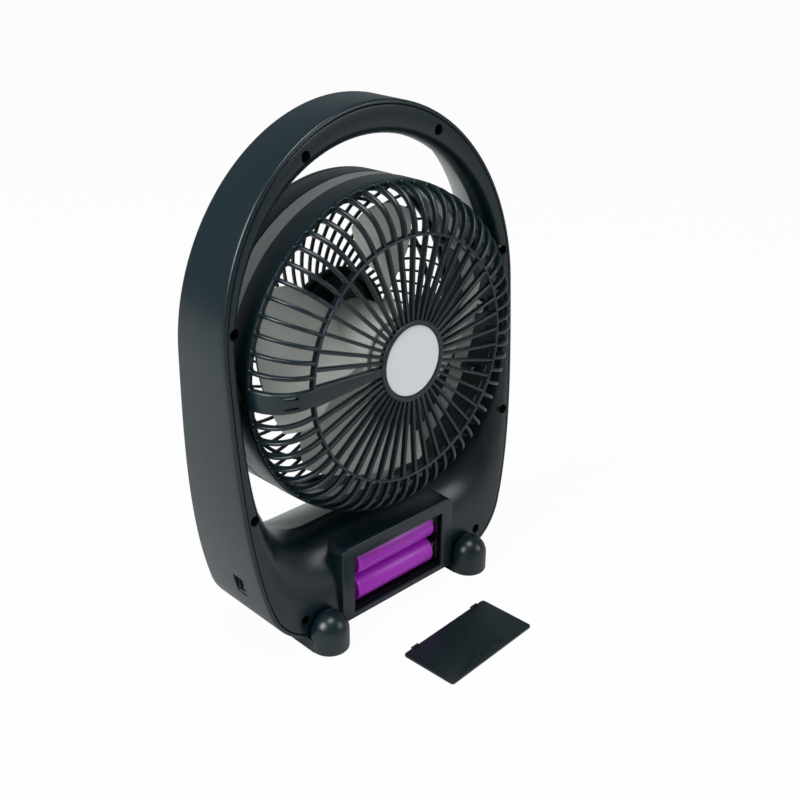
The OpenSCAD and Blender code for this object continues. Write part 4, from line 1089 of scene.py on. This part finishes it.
    def _spiral_rib(self) -> Shape:
        """One rib of the front grille, swept back along its way out."""
        (r0, r1), lag = self.spiral_r, self.spiral_lag
        section = rounded_outline(*self.spiral_section, 0, 0, 3)
        rings = []
        for s in (k / self.spiral_steps for k in range(self.spiral_steps + 1)):
            r, a = r0 + (r1 - r0) * s, lag * s
            cos, sin = math.cos(a), math.sin(a)
            centre = Vector((r * cos, r * sin, self.spiral_w))
            ahead = Vector(((r1 - r0) * cos - r * lag * sin, (r1 - r0) * sin + r * lag * cos, 0))
            ahead.normalize()
            side = Vector((-ahead.y, ahead.x, 0))
            rings.append([tuple(centre + side * t + Vector((0, 0, w))) for t, w in section])
        return Shape().sweep(rings, closed=False)

    def front_grille(self) -> None:
        """The front grille's spiral ribs, its rings and the centre cap."""
        shop = self.shop
        wear = shop.materials.get(Finish.FRAME)
        ribs = shop.polar.spread(self._spiral_rib(), self.spiral_ribs, 0.0, wear, HEAD)
        shop.make(dark("front_ribs_v", "head", ("front_grille",), 40), ribs)
        hoops = Shape()
        for profile, steps in (
            ((92.5, 97.9, -28.0, -25.0, 0.8), 240),
            ((78.9, 81.1, -27.8, -25.2, 0.6), 200),
            ((36.7, 39.7, -28.0, -25.0, 0.6), 160),
        ):
            hoops.lathe(ring_profile(*profile), steps, HEAD)
        shop.make(dark("front_hoops_v", "head"), hoops)
        cap = [(AXIS_R, -29.5)] + arc(37.3, -28.7, 0.8, -90, 0, 4) + list(self.cap_profile)
        shop.make(dark("front_cap_v", "head", ("front_cap",)), Shape().lathe(cap, 160, HEAD))

    def build(self) -> None:
        """Builds the whole head."""
        self.rear_grille()
        self.rings()
        self.front_grille()


@dataclass
class Rotor:
    """The fan wheel: hub cup and swept blades; sizes in mm and degrees.

    A blade's edges are polynomials of s, the share of its span: lead and trail hold the
    factors of s to the power of 0, 1 and 2.
    """

    shop: Workshop
    count: int = 4
    steps: int = 26
    chord_steps: int = 18
    root_r: float = 23.5
    span: float = 58.5
    lead: Point3 = (-52.6, 12.6, 0.0)
    trail: Point3 = (-6.0, 46.0, -10.0)
    round_from: float = 0.665
    round_len: float = 0.335
    round_power: float = 1.3
    lead_round: float = 7.0
    trail_round: float = 12.0
    mid_w: float = 8.5
    rise: Point = (33.0, 4.0)
    bow: float = 4.0
    half_t: float = 0.75
    cup_profile: tuple[Point, ...] = (
        (24.5, 27.5), (24.1, 28.0), (22.5, 28.0), (22.5, -10.0), (4.5, -10.0), (4.5, 8.5),
        (2.06, 8.5),
    )

    def _point(self, s: float, u: float, side: int) -> Point3:
        """A point of the blade's skin.

        Args:
            s: Share of the span, from the hub out.
            u: Share of the chord, from the leading edge.
            side: 1 for the rear skin, -1 for the front skin.

        Returns:
            The point in the head's frame.
        """
        r = self.root_r + self.span * s
        lead, trail = (c[0] + c[1] * s + c[2] * s * s for c in (self.lead, self.trail))
        rounded = (max(0.0, s - self.round_from) / self.round_len) ** self.round_power
        near, far = lead + self.lead_round * rounded, trail - self.trail_round * rounded
        a = near * (1 - u) + far * u
        v = (a - lead) / (trail - lead)
        edge = math.sin(math.pi * u) ** 0.5 * 0.9 + 0.1
        rise = self.rise[0] + self.rise[1] * s
        w = self.mid_w + s + rise * (v - 0.5) - self.bow * math.sin(math.pi * v)
        turn = math.radians(a)
        return r * math.cos(turn), r * math.sin(turn), w + side * self.half_t * edge

    def build(self) -> None:
        """Builds the wheel."""
        rings = []
        shares = [c / self.chord_steps for c in range(self.chord_steps + 1)]
        for s in (k / self.steps for k in range(self.steps + 1)):
            top, low = ([self._point(s, u, side) for u in shares] for side in (1, -1))
            rings.append(top + low[::-1])
        blade = Shape().sweep(rings, closed=False)
        shop, wear = self.shop, self.shop.materials.get(Finish.BLADE)
        blades = shop.polar.spread(blade, self.count, 0.0, wear, HEAD)
        kind = ("fan_rotor", Finish.BLADE, "blade_plastic")
        shop.make(Piece("fan_blades_v", *kind, ("fan_blades",), 50), blades)
        cup = [(2.06, -12.0), (23.5, -12.0)] + arc(23.5, -11.0, 1.0, -90, 0, 4)
        hub = Shape().lathe(cup + list(self.cup_profile), 96, HEAD)
        shop.make(Piece("blade_hub_v", *kind), hub)


@dataclass
class Power:
    """Cells and the battery door; sizes in mm."""

    shop: Workshop
    cell_r: float = 9.1
    cell_len: float = 65.0
    cell_y: float = 19.7
    cell_mid_z: float = 29.9
    cell_pitch: float = 18.7
    cap_h: float = 0.9
    end_r: float = 5.6
    door_w: float = 74.1
    door_h: float = 38.0
    door_yaw: float = math.radians(3.2)
    door_at: Point = (-2.4302, 88.5)

    def cells(self) -> None:
        """Two lithium cells: shrunk sleeve, steel cap and insulating ring."""
        r, end, rim = self.cell_r, self.cell_len - self.cap_h, self.end_r
        disc_r = rim + 0.1
        sleeve = [(rim, 0.05), (r - 0.7, 0.05)] + arc(r - 0.7, 0.75, 0.7, -90, 0, 4)
        sleeve += [(r, end - 3.6), (r - 0.35, end - 2.7), (r - 0.35, end - 2.1)]
        sleeve += [(r - 0.02, end - 1.3)] + arc(r - 0.7, end - 0.7, 0.7, 0, 90, 4)
        sleeve += [(rim, end), (rim, end - 0.4), (rim, 0.5)]
        cap = [(AXIS_R, end - 0.35), (disc_r, end - 0.35), (disc_r, end - 0.05), (3.1, end - 0.05)]
        cap += [(2.9, end + 0.7), (2.7, end + self.cap_h), (AXIS_R, end + self.cap_h)]
        for name, up in (("upper_cell", 1), ("lower_cell", -1)):
            z = self.cell_mid_z + up * self.cell_pitch / 2
            place = Matrix.Translation((-self.cell_len / 2, self.cell_y, z)) @ ALONG_X
            body = f"{name}_body"
            piece = Piece(f"{name}_v", body, Finish.CELL, "cell_wrap", (name,), 40)
            self.shop.make(piece, Shape().lathe(sleeve, 96, place))
            ends = Shape().lathe(rod_profile(disc_r, 0.1, 0.4, AXIS_R), 64, place)
            ends.lathe(cap, 64, place)
            self.shop.make(Piece(f"{name}_ends_v", body, Finish.STEEL, "contact_metal"), ends)

    def door(self) -> None:
        """The battery door on the table with its inner side up."""
        w, h = self.door_w, self.door_h
        spin = Matrix.Rotation(self.door_yaw, 4, "Z")
        place = Matrix.Translation((*self.door_at, 0)) @ spin
        panel = Shape().plate(rounded_outline(w, h, 2.0), 0.0, 1.5, 0.3, 2, place)
        outer = rounded_outline(w - 1.0, h - 1.0, 1.8)
        inner = rounded_outline(w - 3.2, h - 3.2, 0.8)
        rim = [
            [(o[0], o[1], 1.4), (o[0], o[1], 2.2), (o[0] * 0.997, o[1] * 0.994, 2.4)]
            + [(i[0] * 1.003, i[1] * 1.006, 2.4), (i[0], i[1], 2.2), (i[0], i[1], 1.4)]
            for o, i in zip(outer, inner)
        ]
        panel.sweep(rim, True, place)
        for y in (-0.27 * h, 0.13 * h):
            panel.box((-w / 2 + 1.1, y - 0.3, 1.3), (w / 2 - 1.1, y + 0.3, 2.0), 0.15, 2, place)
        for x in (-0.37 * w, 0.37 * w):
            panel.box((x - 3, -h / 2 - 0.35, 1.4), (x + 3, -h / 2 + 1.4, 2.4), 0.25, 2, place)
        panel.box((-3.5, h / 2 - 1.4, 1.4), (3.5, h / 2 + 0.6, 2.4), 0.25, 2, place)
        slits = Shape()
        for x in (-8.9, 8.9):
            slits.box((x - 4.5, h / 2 - 4.45, -1), (x + 4.5, h / 2 - 3.55, 5), 0.2, 2, place)
        body = "battery_door_body"
        piece = Piece("battery_door_v", body, Finish.DOOR, "door_plastic", ("battery_door",))
        self.shop.make(piece, panel, [slits])

    def build(self) -> None:
        """Builds the cells and the door."""
        self.cells()
        self.door()


# ---- Stage


@dataclass
class Stage:
    """Floor, backdrop, light and camera; the camera's angles in degrees, aim in mm."""

    floor_half: float = 6.0
    floor_drop: float = 0.0002
    floor_glow: float = 0.96
    azimuth: float = 135.50
    elevation: float = 25.71
    roll: float = 0.74
    aim: Point3 = (0.26, 29.98, 140.46)
    away: float = 0.64491
    lens: float = 50.378
    lamps: tuple = (
        ("key", (1.5, -0.1, 1.2), (0, 0, 0.15), 0.9, 30.0),
        ("fill", (-1.1, 1.5, 0.9), (0, 0, 0.15), 0.8, 8.0),
        ("top", (0.1, 0.3, 2.0), (0, 0, 0.1), 0.9, 18.0),
    )

    @staticmethod
    def _for_camera(
        tree: bpy.types.NodeTree, plain: bpy.types.Node, seen: bpy.types.Node, out: str,
        share: float = 1.0,
    ) -> None:
        """Shows the camera one shader, mixed in by a share, and all else another."""
        new = tree.nodes.new
        both, path, factor = (
            new(f"ShaderNode{kind}") for kind in ("MixShader", "LightPath", "Math")
        )
        factor.operation = "MULTIPLY"
        dial(factor, {1: share})
        wire(
            tree,
            (path, "Is Camera Ray", factor, 0), (factor, 0, both, "Fac"), (plain, 0, both, 1),
            (seen, 0, both, 2), (both, 0, tree.nodes[out], "Surface"),
        )

    def floor(self) -> None:
        """A pale floor that reads white to the camera with a faint contact shade."""
        mesh = bpy.data.meshes.new("floor")
        half = self.floor_half
        corners = [(-half, -half, 0), (half, -half, 0), (half, half, 0), (-half, half, 0)]
        mesh.from_pydata(corners, [], [(0, 1, 2, 3)])
        floor = put("floor", mesh)
        floor.location.z = -self.floor_drop
        mat = bpy.data.materials.new("floor_pale")
        mat.use_nodes = True
        shader = mat.node_tree.nodes["Principled BSDF"]
        dial(shader, {
            "Base Color": (0.6, 0.61, 0.61, 1), "Roughness": 0.9, "Specular IOR Level": 0.1,
        })
        glow = mat.node_tree.nodes.new("ShaderNodeEmission")
        dial(glow, {"Strength": 1.0})
        self._for_camera(mat.node_tree, shader, glow, "Material Output", self.floor_glow)
        mesh.materials.append(mat)

    def world(self) -> None:
        """A white world for the camera and soft grey light for the object."""
        world = bpy.data.worlds.new("studio")
        world.use_nodes = True
        back = world.node_tree.nodes["Background"]
        dial(back, {"Color": (0.86, 0.95, 1.0, 1), "Strength": 0.24})
        white = world.node_tree.nodes.new("ShaderNodeBackground")
        dial(white, {"Strength": 1.0})
        self._for_camera(world.node_tree, back, white, "World Output")
        bpy.context.scene.world = world

    @staticmethod
    def lamp(name: str, place: Point3, aim: Point3, size: float, watts: float) -> None:
        """Adds a square area lamp that looks at a point.

        Args:
            name: Name of the lamp.
            place: Where it stands, in metres.
            aim: The point that it looks at.
            size: Side of the lamp in metres.
            watts: Its power.
        """
        data = bpy.data.lights.new(name, "AREA")
        data.energy, data.size = watts, size
        lamp = put(name, data)
        lamp.location = place
        lamp.rotation_mode = "QUATERNION"
        lamp.rotation_quaternion = (Vector(aim) - Vector(place)).to_track_quat("-Z", "Y")

    def camera(self) -> None:
        """The camera that the photograph was solved for."""
        az, el, roll = (math.radians(a) for a in (self.azimuth, self.elevation, self.roll))
        target = Vector((self.aim[0], self.aim[1] + SHIFT_Y, self.aim[2])) * MM
        back = Vector((math.sin(az) * math.cos(el), -math.cos(az) * math.cos(el), math.sin(el)))
        right = Vector((math.cos(az), math.sin(az), 0))
        up = back.cross(right)
        right_r = right * math.cos(roll) + up * math.sin(roll)
        up_r = up * math.cos(roll) - right * math.sin(roll)
        data = bpy.data.cameras.new("camera")
        data.sensor_width, data.lens = 36.0, self.lens
        data.clip_start, data.clip_end = 0.01, 20.0
        cam = put("camera", data)
        turn = Matrix((right_r, up_r, back)).transposed().to_4x4()
        cam.matrix_world = Matrix.Translation(target + back * self.away) @ turn
        bpy.context.scene.camera = cam

    def build(self) -> None:
        """Sets up floor, light and camera."""
        self.floor()
        self.world()
        for lamp in self.lamps:
            self.lamp(*lamp)
        self.camera()
        scene = bpy.context.scene
        scene.view_settings.view_transform = "Standard"
        scene.view_settings.look = "None"


def paint_inner_nodes(shop: Workshop) -> None:
    """Gives the CAD nodes that show through gaps their real materials."""
    shop.paint(Finish.RUBBER, "foot_pads", "friction_washers")
    shop.paint(
        Finish.STEEL, "rear_screws", "foot_screws", "pivot_pins", "motor_bearings",
        "motor_screws", "rotor", "blade_nut", "grille_screws", "motor_can", "usb_socket",
        "charge_socket",
    )
    shop.paint(Finish.SPRING, "contact_springs", "contact_plates")
    shop.paint(Finish.BLACK, "battery_tray", "key_switches", "head_lead", "frame_lead")
    shop.paint(Finish.BLADE, "motor_cover")
    shop.paint(Finish.BOARD, "main_board")
    shop.paint(Finish.PALE, "speed_button", "light_button")
    shop.paint(Finish.WHITE, "pivot_bushes", "light_board")
    shop.paint(Finish.LENS, "light_window", "indicator_pipes")


def main() -> None:
    """Builds the fan and its stage."""
    logging.basicConfig(level=logging.INFO, format="%(name)s: %(message)s")
    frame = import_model()
    shop = Workshop(frame)
    LoopFrame(shop).build()
    Head(shop).build()
    Rotor(shop).build()
    Power(shop).build()
    paint_inner_nodes(shop)
    Stage().build()


if __name__ == "__main__":
    main()
